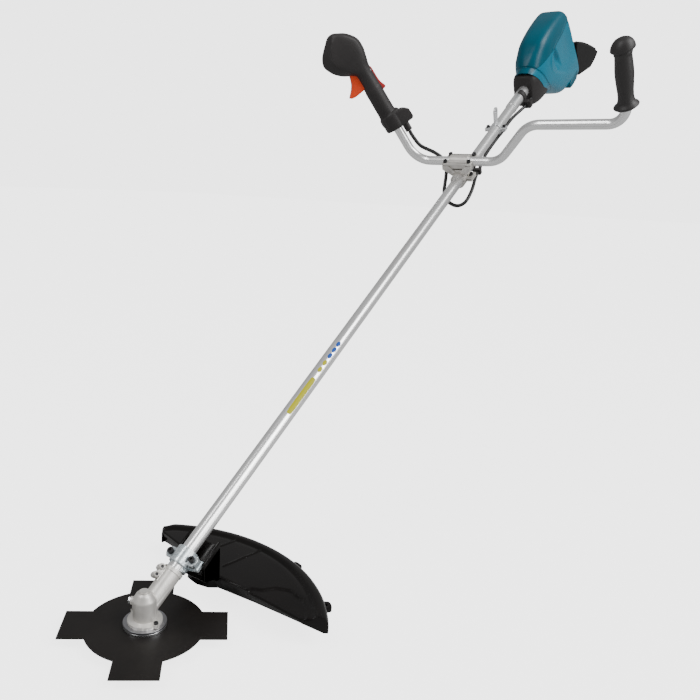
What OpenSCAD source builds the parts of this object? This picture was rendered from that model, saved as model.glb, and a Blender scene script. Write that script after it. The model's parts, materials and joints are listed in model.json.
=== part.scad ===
// Battery brush cutter with a U handle, a four-tooth blade and a fan-shaped guard.
// The shaft frame has x along the tube from the cutter end, y to the operator's right, z up from the tube.
// The cutter frame has z along the cutter spindle, and z = 0 at the blade's mid plane.
// The part's own origin is the middle of the harness eye, and the blade lies level.

/* [Cutter] */
// Diameter over the corners of the blade's arms
blade_d = 255; // [230:1:260]
// Thickness of the blade
blade_t = 2; // [1.4:0.1:3]
// Number of arms on the blade
blade_arms = 4; // [2:1:4]
// Width of one arm
arm_w = 68.6; // [50:0.1:70]
// Diameter of the blade's round middle
blade_disc_d = 180; // [160:1:190]
// Diameter of the blade's centre hole
blade_bore_d = 25.4; // [25.4:0.1:25.4]
// Turn of the blade at rest
blade_turn = 39.5; // [0:0.5:90]

/* [Shaft] */
// Slope of the tube when the blade lies level
shaft_angle = 33; // [30:1:35]
// Height of the tube's axis over the blade's mid plane, at the cutter's axis
apex_h = 25.7; // [25.7:0.1:26]
// Outer diameter of the tube
tube_d = 24; // [24:0.5:24]
// Wall of the tube
tube_wall = 1.5; // [1.5:0.1:2]
// Distance along the tube to its upper end
tube_end = 1562; // [1560:1:1564]
// Diameter of the rod that drives the cutter
drive_d = 7; // [6:0.5:7]

/* [Handle] */
// Distance along the tube to the handlebar clamp
handle_l = 1165; // [1100:5:1200]
// Outer diameter of the handlebar
bar_d = 19; // [19:0.5:19]
// Height of the handlebar's middle over the tube's axis
bar_h = 36.6; // [36:0.1:38]
// Width of the handlebar on the operator's left, to the middle of the grip
left_reach = 333; // [325:1:340]
// Distance along the tube to the harness eye
eye_l = 1372; // [1340:1:1380]
// Height of the harness eye over the tube's axis
eye_h = 41; // [40:0.5:44]

/* [Guard] */
// Radius of the guard's rim about the cutter's axis
guard_r = 270; // [265:1:275]
// Wall of the guard
guard_wall = 3; // [2.5:0.1:4]

/* [Hidden] */
$fn = 64;
FIT = 0.05;
tube_r = tube_d / 2;
tube_in = tube_r - tube_wall;
bar_r = bar_d / 2;
drive_r = drive_d / 2;

// ---- frames ----

module shaft_frame() {
  rotate([0, -shaft_angle, 0])
    translate([-eye_l, 0, -eye_h])
      children();
}

module cutter_frame() {
  shaft_frame()
    rotate([0, shaft_angle, 0])
      translate([0, 0, -apex_h])
        children();
}

// From the cutter frame: x along the tube, with its origin where the two axes cross
module tube_from_cutter() {
  translate([0, 0, apex_h])
    rotate([0, -shaft_angle, 0])
      children();
}

// x along the tube, y across, z up, with the origin at the middle of the handlebar
module bar_frame() {
  shaft_frame()
    translate([handle_l, 0, bar_h])
      children();
}

// ---- shared shapes ----

// A cylinder along x from x0 to x1
module rod_x(r, x0, x1) {
  translate([x0, 0, 0])
    rotate([0, 90, 0])
      cylinder(r = r, h = x1 - x0);
}

module ring_x(r_out, r_in, x0, x1) {
  difference() {
    rod_x(r_out, x0, x1);
    rod_x(r_in, x0 - 1, x1 + 1);
  }
}

module ring_z(r_out, r_in, z0, z1) {
  translate([0, 0, z0])
    difference() {
      cylinder(r = r_out, h = z1 - z0);
      translate([0, 0, -1])
        cylinder(r = r_in, h = z1 - z0 + 2);
    }
}

// A box from one corner to the other
module slab(low, high) {
  translate(low)
    cube(high - low);
}

// A socket-head screw pointing down, with the underside of its head at z = 0
module cap_screw(r, length, head_r, head_h) {
  translate([0, 0, -length])
    cylinder(r = r, h = length);
  difference() {
    cylinder(r = head_r, h = head_h);
    translate([0, 0, head_h * 0.45])
      cylinder(r = head_r * 0.5, h = head_h, $fn = 6);
  }
}

// ---- cutter ----

module cutter_blade() {
  tip = sqrt(pow(blade_d / 2, 2) - pow(arm_w / 2, 2));
  color("#1c1b1b")
    cutter_frame()
      rotate([0, 0, blade_turn])
        translate([0, 0, -blade_t / 2])
          difference() {
            union() {
              cylinder(d = blade_disc_d, h = blade_t);
              for (arm = [0 : blade_arms - 1])
                rotate([0, 0, arm * 360 / blade_arms])
                  translate([0, -arm_w / 2, 0])
                    cube([tip, arm_w, blade_t]);
            }
            translate([0, 0, -1])
              cylinder(d = blade_bore_d, h = blade_t + 2);
          }
}

holder_r = 32.5;
spindle_r = 6;
thread_r = 5;

module blade_holder() {
  color("#b9bbbd")
    cutter_frame()
      difference() {
        union() {
          translate([0, 0, -blade_t / 2 + 0.1])
            cylinder(r = blade_bore_d / 2 - FIT, h = 3);
          translate([0, 0, blade_t / 2])
            cylinder(r = holder_r, h = 3.6);
          translate([0, 0, blade_t / 2])
            cylinder(r = holder_r - 5, h = 5);
          cylinder(r = 9.5, h = 8);
        }
        translate([0, 0, -3])
          cylinder(r = thread_r + FIT, h = 20);
      }
}

module clamp_washer() {
  color("#9a9c9e")
    cutter_frame()
      ring_z(30, thread_r + FIT, -5, -blade_t / 2);
}

module skid_cup() {
  color("#8f9193")
    cutter_frame()
      difference() {
        rotate_extrude()
          polygon([[thread_r + FIT, -5], [27, -5], [30, -9], [30, -18], [27, -18], [27, -10],
                   [24, -8], [thread_r + FIT, -8]]);
        for (turn = [0, 180])
          rotate([0, 0, turn])
            translate([19, 0, -9])
              cylinder(r = 2.6, h = 5);
      }
}

module spindle_nut() {
  color("#c4c5c6")
    cutter_frame()
      difference() {
        union() {
          translate([0, 0, -16])
            cylinder(r = 9.8, h = 6.5, $fn = 6);
          translate([0, 0, -9.5])
            cylinder(r = 10.5, h = 1.5);
        }
        translate([0, 0, -17])
          cylinder(r = thread_r + FIT, h = 12);
      }
}

module spindle() {
  color("#d2d3d4")
    cutter_frame() {
      translate([0, 0, -17])
        cylinder(r = thread_r, h = 25.2);
      translate([0, 0, 8.2])
        cylinder(r = spindle_r, h = 29.6);
      translate([0, 0, 37.8])
        cylinder(r = thread_r, h = 8.8);
      translate([0, 0, 46.6])
        cylinder(r = 4, h = 7.6);
    }
}

// ---- bevel gears ----

gear_teeth = 19;
pinion_teeth = 14;
cone_distance = 23.7;
face_width = 7;
axis_angle = 90 - shaft_angle;
pinion_cone = atan(sin(axis_angle) / (gear_teeth / pinion_teeth + cos(axis_angle)));
gear_cone = axis_angle - pinion_cone;
gear_back = cone_distance * cos(gear_cone);
pinion_back = cone_distance * cos(pinion_cone);
gear_r = cone_distance * sin(gear_cone);
pinion_r = cone_distance * sin(pinion_cone);
inner_scale = (cone_distance - face_width) / cone_distance;

// The outline of a gear at its back face, with one tooth pointing along +x
module tooth_outline(teeth, r_root, r_pitch, r_tip, gap) {
  half = (180 / teeth / 2) * (1 - gap);
  polygon([for (tooth = [0 : teeth - 1])
    each [for (corner = [[r_root, -1.62], [r_pitch, -1], [r_tip, -0.42], [r_tip, 0.42],
                         [r_pitch, 1], [r_root, 1.62]])
      let (turn = tooth * 360 / teeth + corner[1] * half)
        [corner[0] * cos(turn), corner[0] * sin(turn)]]]);
}

module driven_gear() {
  color("#a7a9ab")
    cutter_frame()
      translate([0, 0, apex_h])
        difference() {
          union() {
            translate([0, 0, gear_back])
              mirror([0, 0, 1])
                linear_extrude(height = gear_back * (1 - inner_scale), scale = inner_scale)
                  rotate([0, 0, 180 / gear_teeth])
                    tooth_outline(gear_teeth, gear_r - 1.5, gear_r, gear_r + 0.85, 0.3);
            translate([0, 0, gear_back])
              cylinder(r = gear_r - 1.6, h = 1);
          }
          translate([0, 0, 5])
            cylinder(r = thread_r + FIT, h = 30);
        }
}

module pinion_gear() {
  color("#a7a9ab")
    cutter_frame()
      tube_from_cutter()
        difference() {
          union() {
            translate([pinion_back, 0, 0])
              rotate([0, -90, 0])
                linear_extrude(height = pinion_back * (1 - inner_scale), scale = inner_scale)
                  tooth_outline(pinion_teeth, pinion_r - 1.2, pinion_r, pinion_r + 0.95, 0.3);
            rod_x(5.4, pinion_back - 1, 22.3);
            rod_x(3.95, 22, 60);
          }
          rod_x(drive_r - 0.5, 41, 61);
        }
}

// ---- gear case ----

module lower_bearing() {
  color("#cfd0d1")
    cutter_frame()
      difference() {
        ring_z(13.97, spindle_r + FIT, 11, 19);
        ring_z(11.2, 8.6, 18.2, 20);
      }
}

module upper_bearing() {
  color("#cfd0d1")
    cutter_frame()
      difference() {
        ring_z(10.97, 4 + FIT, 47, 54);
        ring_z(8.8, 6.4, 53.2, 55);
      }
}

module oil_seal() {
  color("#2b2b2b")
    cutter_frame()
      ring_z(13.95, 9.8, 8.5, 10.95);
}

module pinion_bearings() {
  color("#cfd0d1")
    shaft_frame()
      for (start = [22.4, 29.45])
        ring_x(10.97, 4, start, start + 7);
}

case_bottom = 8.4;
neck_r = 15;
neck_end = 73;
lug_turn = -42;

// Two clamp screws stand across the slot in the neck; children are drawn at each, with z along the screw
module at_lug_screws() {
  rotate([lug_turn, 0, 0])
    for (along = [51, 65])
      translate([along, 0, 19.5])
        rotate([-90, 0, 0])
          children();
}

module gear_case() {
  color("#c3c1bd")
    cutter_frame()
      difference() {
        union() {
          rotate_extrude()
            polygon([[0, case_bottom], [26, case_bottom], [26, 12.5], [18, 14.5], [18, 44], [12, 54.5],
                     [9, 57], [0, 57]]);
          tube_from_cutter() {
            rod_x(neck_r, 2, neck_end);
            rod_x(neck_r + 1.2, neck_end - 6, neck_end);
            rotate([lug_turn, 0, 0])
              slab([44, -8, 8], [72, 8, 25]);
          }
          for (turn = [-95, 85])
            rotate([0, 0, turn])
              translate([25.5, 0, case_bottom + 0.8])
                cylinder(r = 5, h = 5.8);
          rotate([0, 0, 125])
            translate([12, 0, 42])
              rotate([0, 90, 0])
                cylinder(r = 6, h = 8);
        }
        translate([0, 0, case_bottom - 1])
          cylinder(r = 14, h = 12);
        translate([0, 0, 19])
          cylinder(r = 14.4, h = 28);
        translate([0, 0, 46.9])
          cylinder(r = 11, h = 7.2);
        translate([0, 0, 54])
          cylinder(r = 8, h = 5);
        tube_from_cutter() {
          rod_x(11.6, 2, 22.4);
          rod_x(11, 22, 37);
          rod_x(tube_r + FIT, 36.6, neck_end + 1);
          rotate([lug_turn, 0, 0])
            slab([42, -1, 10], [neck_end + 1, 1, 30]);
          at_lug_screws()
            translate([0, 0, -10])
              cylinder(r = 2.6, h = 20);
        }
        for (turn = [-95, 85])
          rotate([0, 0, turn])
            translate([25.5, 0, case_bottom - 1])
              cylinder(r = 2.1, h = 9);
        rotate([0, 0, 125])
          translate([11, 0, 42])
            rotate([0, 90, 0])
              cylinder(r = 3.05, h = 10);
      }
}

// Thin plate under the case that keeps cuttings out of the seal
module dust_guard() {
  color("#a9abac")
    cutter_frame()
      difference() {
        union() {
          ring_z(32.5, 12, 7.2, case_bottom);
          ring_z(32.5, 31.4, 4.8, 7.3);
        }
        for (turn = [-95, 85])
          rotate([0, 0, turn])
            translate([25.5, 0, 6])
              cylinder(r = 2.1, h = 4);
      }
}

module case_cap() {
  color("#d4d3d0")
    cutter_frame() {
      translate([0, 0, 54.3])
        cylinder(r = 7.95, h = 4.2);
      translate([0, 0, 58.5])
        cylinder(r = 6.5, h = 1.2);
    }
}

module grease_plug() {
  color("#8d8f91")
    cutter_frame()
      rotate([0, 0, 125])
        translate([0, 0, 42])
          rotate([0, 90, 0]) {
            translate([0, 0, 15])
              cylinder(r = 3, h = 5);
            difference() {
              translate([0, 0, 20])
                cylinder(r = 5.2, h = 3.2, $fn = 6);
              translate([0, 0, 21.8])
                cylinder(r = 2, h = 3, $fn = 6);
            }
          }
}

module case_screws() {
  color("#3a3b3c")
    cutter_frame() {
      tube_from_cutter()
        at_lug_screws()
          translate([0, 0, 8])
            cap_screw(2.5, 15.5, 4.3, 4.5);
      for (turn = [-95, 85])
        rotate([0, 0, turn])
          translate([25.5, 0, 15])
            cap_screw(2, 7.6, 3.6, 2.6);
    }
}

// ---- drive and tube ----

module main_tube() {
  color("#d7d9da")
    shaft_frame()
      ring_x(tube_r, tube_in, 37.2, tube_end);
}

module drive_shaft() {
  color("#b4b6b8")
    shaft_frame() {
      rod_x(drive_r - 0.55, 42, 62);
      rod_x(drive_r, 60.05, 1572);
    }
}

module shaft_bushings() {
  color("#e8e4d8")
    shaft_frame()
      for (along = [180 : 260 : 1480])
        ring_x(tube_in - 0.03, drive_r + FIT, along, along + 30);
}

// ---- guard and its bracket ----

bracket_l = 97;
bracket_half = 14;

module at_bracket_screws() {
  for (side = [-1, 1])
    translate([bracket_l, side * 22, 0])
      children();
}

module bracket_upper() {
  color("#b7bec2")
    shaft_frame()
      difference() {
        union() {
          intersection() {
            rod_x(16.5, bracket_l - bracket_half, bracket_l + bracket_half);
            slab([0, -20, 0.6], [200, 20, 20]);
          }
          slab([bracket_l - 9, -27, 0.6], [bracket_l + 9, 27, 5.6]);
          at_bracket_screws()
            translate([0, 0, 0.6])
              cylinder(r = 9, h = 5);
        }
        rod_x(tube_r + FIT, 0, 200);
        at_bracket_screws()
          translate([0, 0, -1])
            cylinder(r = 3.1, h = 10);
      }
}

module bracket_lower() {
  color("#aab2b7")
    shaft_frame()
      difference() {
        union() {
          intersection() {
            rod_x(17.5, bracket_l - 20, bracket_l + bracket_half);
            slab([0, -20, -20], [200, 20, -0.6]);
          }
          slab([bracket_l - 11, -31, -18], [bracket_l + 11, 31, -12.5]);
          slab([bracket_l - 9, -27, -12.6], [bracket_l + 9, 27, -0.6]);
        }
        rod_x(tube_r + FIT, 0, 200);
        at_bracket_screws()
          translate([0, 0, -19])
            cylinder(r = 3.1, h = 20);
      }
}

module bracket_screws() {
  color("#2a2a2a")
    shaft_frame()
      at_bracket_screws()
        translate([0, 0, 5.6])
          cap_screw(3, 40, 5.2, 5.5);
}

// Height of the guard's outer face at a radius from the cutter's axis
guard_skin = [[84, 34], [140, 32], [200, 31.5], [240, 30.5], [guard_r - 13, 28.5], [guard_r - 8, 25.5],
              [guard_r, 9]];
guard_hem = 7;
guard_front = [[206, 168], [189, 153], [184, 128], [164, 66], [126, 36], [97, 26], [97, -34],
               [112, -46], [130, -62], [142, -84], [142, -216]];
tab_turns = [-20.5, -44];
tab_out = 4;
tab_z = 10;
tab_h = 3.5;

module guard_plan() {
  polygon(concat(guard_front, [[136, -240], [150, -300], [320, -300], [320, 260], [240, 200]]));
}

// The block under the bracket: its top lies along the tube
module guard_block(inset) {
  intersection() {
    translate([0, 0, 29 - inset])
      linear_extrude(height = 80)
        polygon([[82 + inset, -32 + inset], [82 + inset, 32 - inset], [115 - inset, 32 - inset],
                 [115 - inset, -32 + inset]]);
    tube_from_cutter()
      slab([40, -60, -120], [160, 60, -18.05 - inset * 1.2]);
  }
}

module cutter_guard() {
  last = len(guard_skin) - 1;
  color("#19191a")
    cutter_frame()
      difference() {
        union() {
          intersection() {
            rotate([0, 0, -66])
              rotate_extrude(angle = 112)
                polygon(concat(guard_skin, [[guard_r + 0.6, guard_hem], [guard_r - guard_wall, guard_hem]],
                  [for (i = [last - 1 : -1 : 0])
                    [guard_skin[i][0] - (i < 4 ? 0 : guard_wall), guard_skin[i][1] - guard_wall]]));
            linear_extrude(height = 60)
              guard_plan();
          }
          intersection() {
            rotate([0, 0, -66])
              rotate_extrude(angle = 112)
                polygon(concat(guard_skin, [[84, 9]]));
            linear_extrude(height = 60)
              polygon(concat(guard_front,
                [for (i = [len(guard_front) - 1 : -1 : 0]) guard_front[i] + [guard_wall, 0]]));
          }
          guard_block(0);
          for (turn = tab_turns)
            rotate([0, 0, turn])
              translate([guard_r + 3, 0, tab_z])
                cylinder(r = 8, h = tab_h);
        }
        guard_block(4);
        slab([80, -36, 0], [118, 40, 28]);
        for (turn = tab_turns)
          rotate([0, 0, turn])
            translate([guard_r + tab_out, 0, tab_z - 3])
              cylinder(r = 2.5, h = 9);
        tube_from_cutter()
          at_bracket_screws()
            translate([0, 0, -40])
              cylinder(r = 3.1, h = 30);
      }
}

// The nuts under the guard's block
module guard_screws() {
  color("#2a2a2a")
    shaft_frame()
      at_bracket_screws()
        translate([0, 0, -28])
          difference() {
            cylinder(r = 5.7, h = 5.1, $fn = 6);
            translate([0, 0, -1])
              cylinder(r = 3 + FIT, h = 8);
          }
}

// ---- handlebar and its clamp ----

module at_handle_screws() {
  for (along = [-15, 15])
    for (side = [-1, 1])
      translate([along, side * 27, 0])
        children();
}

module handle_base() {
  color("#bdbebf")
    bar_frame()
      difference() {
        union() {
          translate([0, 0, -bar_h]) {
            rod_x(17, -21, 15);
            slab([-15, -12, 10], [15, 12, 24]);
            slab([-12, -29, -4.5], [12, -10, 4.5]);
          }
          for (side = [-1, 1])
            hull() {
              slab([-21, side * 26 - 7, -9], [21, side * 26 + 7, -0.5]);
              translate([0, 0, -bar_h])
                slab([-15, side * 8 - 7, 10], [15, side * 8 + 7, 14]);
            }
          slab([-17, -33, -8], [17, 33, -0.5]);
        }
        translate([0, 0, -bar_h])
          rod_x(tube_r + FIT, -40, 40);
        translate([0, 0, -bar_h])
          slab([-40, -40, -0.7], [40, -8, 0.7]);
        translate([0, -23, -bar_h - 12])
          cylinder(r = 2.6, h = 20);
        rotate([90, 0, 0])
          translate([0, 0, -60])
            cylinder(r = bar_r + FIT, h = 120);
        at_handle_screws()
          translate([0, 0, -14])
            cylinder(r = 2.6, h = 20);
      }
}

module handle_cap() {
  color("#c6c7c8")
    bar_frame()
      difference() {
        union() {
          slab([-21, -33, 0.5], [21, 33, 5.5]);
          rotate([90, 0, 0])
            translate([0, 0, -21])
              cylinder(r = 13, h = 42);
        }
        slab([-40, -40, -20], [40, 40, 0.5]);
        rotate([90, 0, 0])
          translate([0, 0, -60])
            cylinder(r = bar_r + FIT, h = 120);
        at_handle_screws()
          translate([0, 0, -1])
            cylinder(r = 2.6, h = 10);
      }
}

module handle_screws() {
  color("#242424")
    bar_frame() {
      at_handle_screws()
        translate([0, 0, 5.5])
          cap_screw(2.5, 16, 4.3, 5);
      translate([0, -23, -bar_h + 4.5])
        cap_screw(2.5, 12, 4.3, 4.5);
    }
}

right_bend_y = 69;
right_bend_r = 55;
right_turn = 66;
left_bend_y = 66;
left_bend_r = 46;
left_turn = 52;
left_rise = 81;
grip_bend_r = 30;
grip_lean = 7;

// The bar's ring-shaped section, its wall thinner by thin on each face
module bar_section(thin) {
  difference() {
    circle(r = bar_r - thin);
    circle(r = bar_r - 1.5 + thin);
  }
}

// A bent length of bar in the handle's plane, from angle a0 to a1 about a centre
module bend(centre, bend_r, a0, a1) {
  translate([0, centre[0], centre[1]])
    rotate([90, 0, 90])
      rotate([0, 0, a0])
        rotate_extrude(angle = a1 - a0)
          translate([bend_r, 0])
            bar_section(0.1);
}

// A straight length of bar in the handle's plane, from a point at an angle from +y;
// it reaches a little way into the bend at each end
module straight(from, turn, length) {
  translate([0, from[0], from[1]])
    rotate([turn - 90, 0, 0])
      translate([0, 0, -0.4])
        linear_extrude(height = length + 0.8)
          bar_section(0);
}

right_start = [right_bend_y + right_bend_r * sin(right_turn), right_bend_r * (1 - cos(right_turn))];
left_low = [-left_bend_y - left_bend_r * sin(left_turn), left_bend_r * (1 - cos(left_turn))];
slope_len = (left_rise - 2 * left_low[1]) / sin(left_turn);
left_high = left_low + slope_len * [-cos(left_turn), sin(left_turn)];
left_flat_y = left_high[0] - left_bend_r * sin(left_turn);
grip_bend_y = -left_reach + grip_bend_r;
right_len = 128;
left_len = 96;
grip_foot = [-left_reach + grip_bend_r * (1 - cos(grip_lean)),
             left_rise + grip_bend_r * (1 + sin(grip_lean))];

module handlebar() {
  color("#d3d4d5")
    bar_frame() {
      straight([-left_bend_y, 0], 0, left_bend_y + right_bend_y);
      bend([right_bend_y, right_bend_r], right_bend_r, -90, -90 + right_turn);
      straight(right_start, right_turn, right_len);
      bend([-left_bend_y, left_bend_r], left_bend_r, -90 - left_turn, -90);
      straight(left_low, 180 - left_turn, slope_len);
      bend([left_flat_y, left_rise - left_bend_r], left_bend_r, 90 - left_turn, 90);
      straight([grip_bend_y, left_rise], 0, left_flat_y - grip_bend_y);
      bend([grip_bend_y, left_rise + grip_bend_r], grip_bend_r, 180 - grip_lean, 270);
      straight(grip_foot, 90 - grip_lean, left_len);
    }
}

module left_grip() {
  color("#2c2b2b")
    bar_frame()
      translate([0, grip_foot[0], grip_foot[1]])
        rotate([-grip_lean, 0, 0])
          difference() {
            rotate_extrude()
              polygon([[0, 0], [16, -3], [22, 0], [22, 3.5], [18, 7], [14.2, 14], [16.6, 45], [15, 84],
                       [15, 97], [19.5, 101], [20.6, 105], [18.5, 112], [11.5, 118.5], [0, 121]]);
            translate([0, 0, -5])
              cylinder(r = bar_r + FIT, h = left_len + 6);
          }
}

// ---- throttle grip ----
// z runs along the bar from the end of the last bend; x points the way the trigger does

trigger_side = 225;

module grip_frame() {
  bar_frame()
    translate([0, right_start[0], right_start[1]])
      rotate([right_turn - 90, 0, 0])
        rotate([0, 0, trigger_side - 90])
          children();
}

collar_z = 48;
grip_z = 80;
grip_r = 18.6;
shell_half = 24;
trigger_pivot = [24, 203];
lock_pivot = [-10, 182];
head_outline = [[-13, 196], [-19, 214], [-22, 228], [-21, 240], [-18, 251], [-11, 261], [-3, 270], [12, 281],
                [25, 285], [34, 283], [47, 272], [59, 261], [66, 249], [67, 242], [63, 229], [55, 216],
                [45, 204], [35, 198], [20, 191]];
head_spots = [[56, 236], [-1, 256]];
collar_spot = [-12.5, 62];

// One half of the throttle's housing: side is 1 for the outer half and -1 for the inner
module throttle_half(side) {
  difference() {
    intersection() {
      union() {
        translate([0, 0, grip_z - 2])
          cylinder(r = grip_r, h = 32);
        translate([3.5, 0, 104])
          cylinder(r = 17.5, h = 96);
        translate([0, shell_half, 0])
          rotate([90, 0, 0])
            linear_extrude(height = 2 * shell_half)
              polygon(head_outline);
        translate([0, 0, collar_z])
          cylinder(r = 23, h = 35);
        slab([-37, -18, collar_z], [4, 18, collar_z + 27]);
      }
      slab([-60, side > 0 ? 0.1 : -60, 0], [120, side > 0 ? 60 : -0.1, 320]);
    }
    cylinder(r = bar_r + FIT, h = right_len + 1);
    // room for the trigger, its switch and the lock lever
    slab([4, -8, 150], [36, 8, 214.1]);
    slab([4, -13, 214], [48, 13, 256]);
    slab([-24, -6.5, 130], [-3, 6.5, 190]);
    translate([-19, 0, collar_z - 1])
      cylinder(r = 5.85, h = 10);
    for (spot = head_spots)
      translate([spot[0], -40, spot[1]])
        rotate([-90, 0, 0])
          cylinder(r = 2.1, h = 53);
    translate([collar_spot[0], -12, collar_spot[1]])
      rotate([-90, 0, 0])
        cylinder(r = 2.1, h = 50);
    translate([collar_spot[0], 15, collar_spot[1]])
      rotate([-90, 0, 0])
        cylinder(r = 3.6, h = 20);
    for (spot = [trigger_pivot, lock_pivot])
      translate([spot[0], -12, spot[1]])
        rotate([-90, 0, 0])
          cylinder(r = 2, h = 24);
  }
}

module throttle_shell_inner() {
  color("#333234")
    grip_frame()
      throttle_half(-1);
}

module throttle_shell_outer() {
  color("#333234")
    grip_frame()
      throttle_half(1);
}

module throttle_screws() {
  color("#1d1d1d")
    grip_frame() {
      for (spot = head_spots)
        translate([spot[0], -shell_half, spot[1]])
          rotate([90, 0, 0])
            cap_screw(2, 30, 3.4, 2.2);
      translate([collar_spot[0], 15, collar_spot[1]])
        rotate([-90, 0, 0])
          cap_screw(2, 24, 3.4, 2.2);
    }
}

module throttle_trigger() {
  color("#e0461f")
    grip_frame()
      difference() {
        translate([0, 6.5, 0])
          rotate([90, 0, 0])
            linear_extrude(height = 13)
              polygon([[15, 188], [18, 206], [29, 208], [32.5, 198], [36, 188], [45, 174], [53, 162],
                       [48, 157], [41, 155.5], [26, 156.5], [17, 168]]);
        translate([trigger_pivot[0], -10, trigger_pivot[1]])
          rotate([-90, 0, 0])
            cylinder(r = 2 + FIT, h = 20);
      }
}

module lock_lever() {
  color("#a8252d")
    grip_frame()
      difference() {
        translate([0, 5.5, 0])
          rotate([90, 0, 0])
            linear_extrude(height = 11)
              polygon([[-6, 187], [-14, 187], [-15.5, 158], [-20.5, 138], [-17.5, 133.5], [-12.5, 134],
                       [-9, 150]]);
        translate([lock_pivot[0], -10, lock_pivot[1]])
          rotate([-90, 0, 0])
            cylinder(r = 2 + FIT, h = 20);
      }
}

module lever_pins() {
  color("#c9cacb")
    grip_frame()
      for (spot = [trigger_pivot, lock_pivot])
        translate([spot[0], -11.5, spot[1]])
          rotate([-90, 0, 0])
            cylinder(r = 1.98, h = 23);
}

module throttle_switch() {
  color("#202022")
    grip_frame() {
      slab([10, -9, 218], [44, 9, 250]);
      slab([22, -4, 211], [32, 4, 218.1]);
    }
}

// ---- cable ----

// Route of the cable in the shaft frame, from the collar under the bar to the motor housing
cable_route = [[1178.4, 117.5, 98.4], [1178.4, 112.7, 87.5], [1179.2, 97, 64], [1180.5, 66, 47],
               [1180.5, 49, 33], [1172, 38, 15], [1153, 31, 6], [1134, 26, -1], [1120, 23, -12], [1110, 14, -23],
               [1103, 2, -29], [1099, -14, -31], [1103, -27, -28], [1115, -33, -23], [1146, -31, -19],
               [1180, -24, -15.5], [1205, -19.5, -14.5], [1217, -19.5, -14.5], [1250, -15, -14.5],
               [1300, -10, -14.5], [1340, -10.5, -16.2], [1385, -11, -17], [1430, -12, -15.5],
               [1480, -16, -16.5], [1510, -18, -17.2], [1528, -18, -17.2], [1546, -18, -18],
               [1556, -18, -18]];
cable_r = 4;
cable_sides = 10;

function unit(v) = v / norm(v);

// The direction of the route at point i
function heading(i) = unit(cable_route[min(i + 1, len(cable_route) - 1)] - cable_route[max(i - 1, 0)]);

// A ring of points about the route at point i, all rings turned the same way
function cable_ring(i) =
  let (ahead = heading(i), side = unit(cross(ahead, [0.3, 0.9, -0.3])), up = cross(ahead, side))
    [for (k = [0 : cable_sides - 1])
      cable_route[i] + cable_r * (cos(k * 360 / cable_sides) * side + sin(k * 360 / cable_sides) * up)];

module control_cable() {
  rings = len(cable_route);
  color("#161616")
    shaft_frame()
      polyhedron(
        points = [for (i = [0 : rings - 1]) each cable_ring(i)],
        faces = concat(
          [[for (k = [0 : cable_sides - 1]) k]],
          [for (i = [0 : rings - 2]) for (k = [0 : cable_sides - 1])
            let (a = i * cable_sides + k, b = i * cable_sides + (k + 1) % cable_sides)
              each [[a, a + cable_sides, b], [b, a + cable_sides, b + cable_sides]]],
          [[for (k = [cable_sides - 1 : -1 : 0]) (rings - 1) * cable_sides + k]]));
}

module cable_gland() {
  color("#1b1b1b")
    grip_frame()
      translate([-19, 0, collar_z - 20])
        difference() {
          union() {
            cylinder(r = 7.4, h = 20);
            translate([0, 0, 19.9])
              cylinder(r = 5.8, h = 8);
          }
          translate([0, 0, -1])
            cylinder(r = cable_r + 0.6, h = 30);
        }
}

// Clip that holds the cable on the tube
module cable_clip() {
  color("#121212")
    shaft_frame()
      difference() {
        union() {
          rod_x(14, 1206, 1216);
          translate([1206, -26, -21])
            cube([10, 18, 13]);
        }
        rod_x(tube_r + FIT, 1205, 1217);
        translate([0, -19.5, -14.5])
          rod_x(cable_r + 0.3, 1205, 1217);
      }
}

// ---- hanger ----

module at_hanger_screws() {
  for (side = [-1, 1])
    translate([eye_l - 2, side * 19, 0])
      children();
}

module hanger_band() {
  color("#c9cbcc")
    shaft_frame()
      difference() {
        union() {
          rod_x(14.5, eye_l - 9, eye_l + 5);
          slab([eye_l - 9, -25, -3], [eye_l + 5, 25, 4.5]);
        }
        rod_x(tube_r + FIT, 0, 2000);
        slab([0, -40, -0.5], [2000, 40, 0.5]);
        at_hanger_screws()
          translate([0, 0, -10])
            cylinder(r = 2.1, h = 30);
      }
}

module hanger_eye() {
  color("#d9dadb")
    shaft_frame()
      difference() {
        hull() {
          translate([eye_l, 2, eye_h])
            rotate([90, 0, 0])
              cylinder(r = 9, h = 4, $fn = 32);
          slab([eye_l - 9, -2, 14], [eye_l + 5, 2, 18]);
        }
        rod_x(14.55, 0, 2000);
        translate([eye_l, 5, eye_h])
          rotate([90, 0, 0])
            cylinder(r = 5, h = 10);
      }
}

module hanger_screws() {
  color("#26282a")
    shaft_frame()
      at_hanger_screws()
        translate([0, 0, 4.5])
          cap_screw(2, 12, 3.8, 4);
}

// ---- power head ----

module tube_sleeve() {
  color("#cdced0")
    shaft_frame()
      ring_x(13.6, tube_r + FIT, 1464, 1549.9);
}

module sleeve_clamp() {
  color("#1e1e1e")
    shaft_frame()
      difference() {
        union() {
          intersection() {
            ring_x(16.5, 13.65, 1512, 1526);
            slab([1500, -40, -40], [1540, -1, 40]);
          }
          slab([1512, -31, -24], [1526, -10, -8]);
        }
        rod_x(13.65, 1500, 1540);
        translate([0, -18.05, -17.2])
          rod_x(cable_r + 0.8, 1500, 1540);
      }
}

// Cross-sections of the head along the tube: [place, lean, half width, lowest, highest, squareness]
front_sections = [
  [1550, 0, 23, -38, 36, 3.2],
  [1562, 0.12, 29, -42, 40, 3.2],
  [1580, 0.34, 34, -48, 43, 3.4],
  [1600, 0.58, 38, -54, 46, 3.6]];
body_sections = [
  [1600.2, 0.58, 39.5, -62, 50, 3.4],
  [1640, 0.58, 41.2, -90, 78, 3.8],
  [1690, 0.58, 41.7, -103, 95, 4.4],
  [1760, 0.58, 41.2, -114, 103.5, 4.8],
  [1808, 0.58, 39.5, -120, 103, 5]];
section_points = 36;

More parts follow.
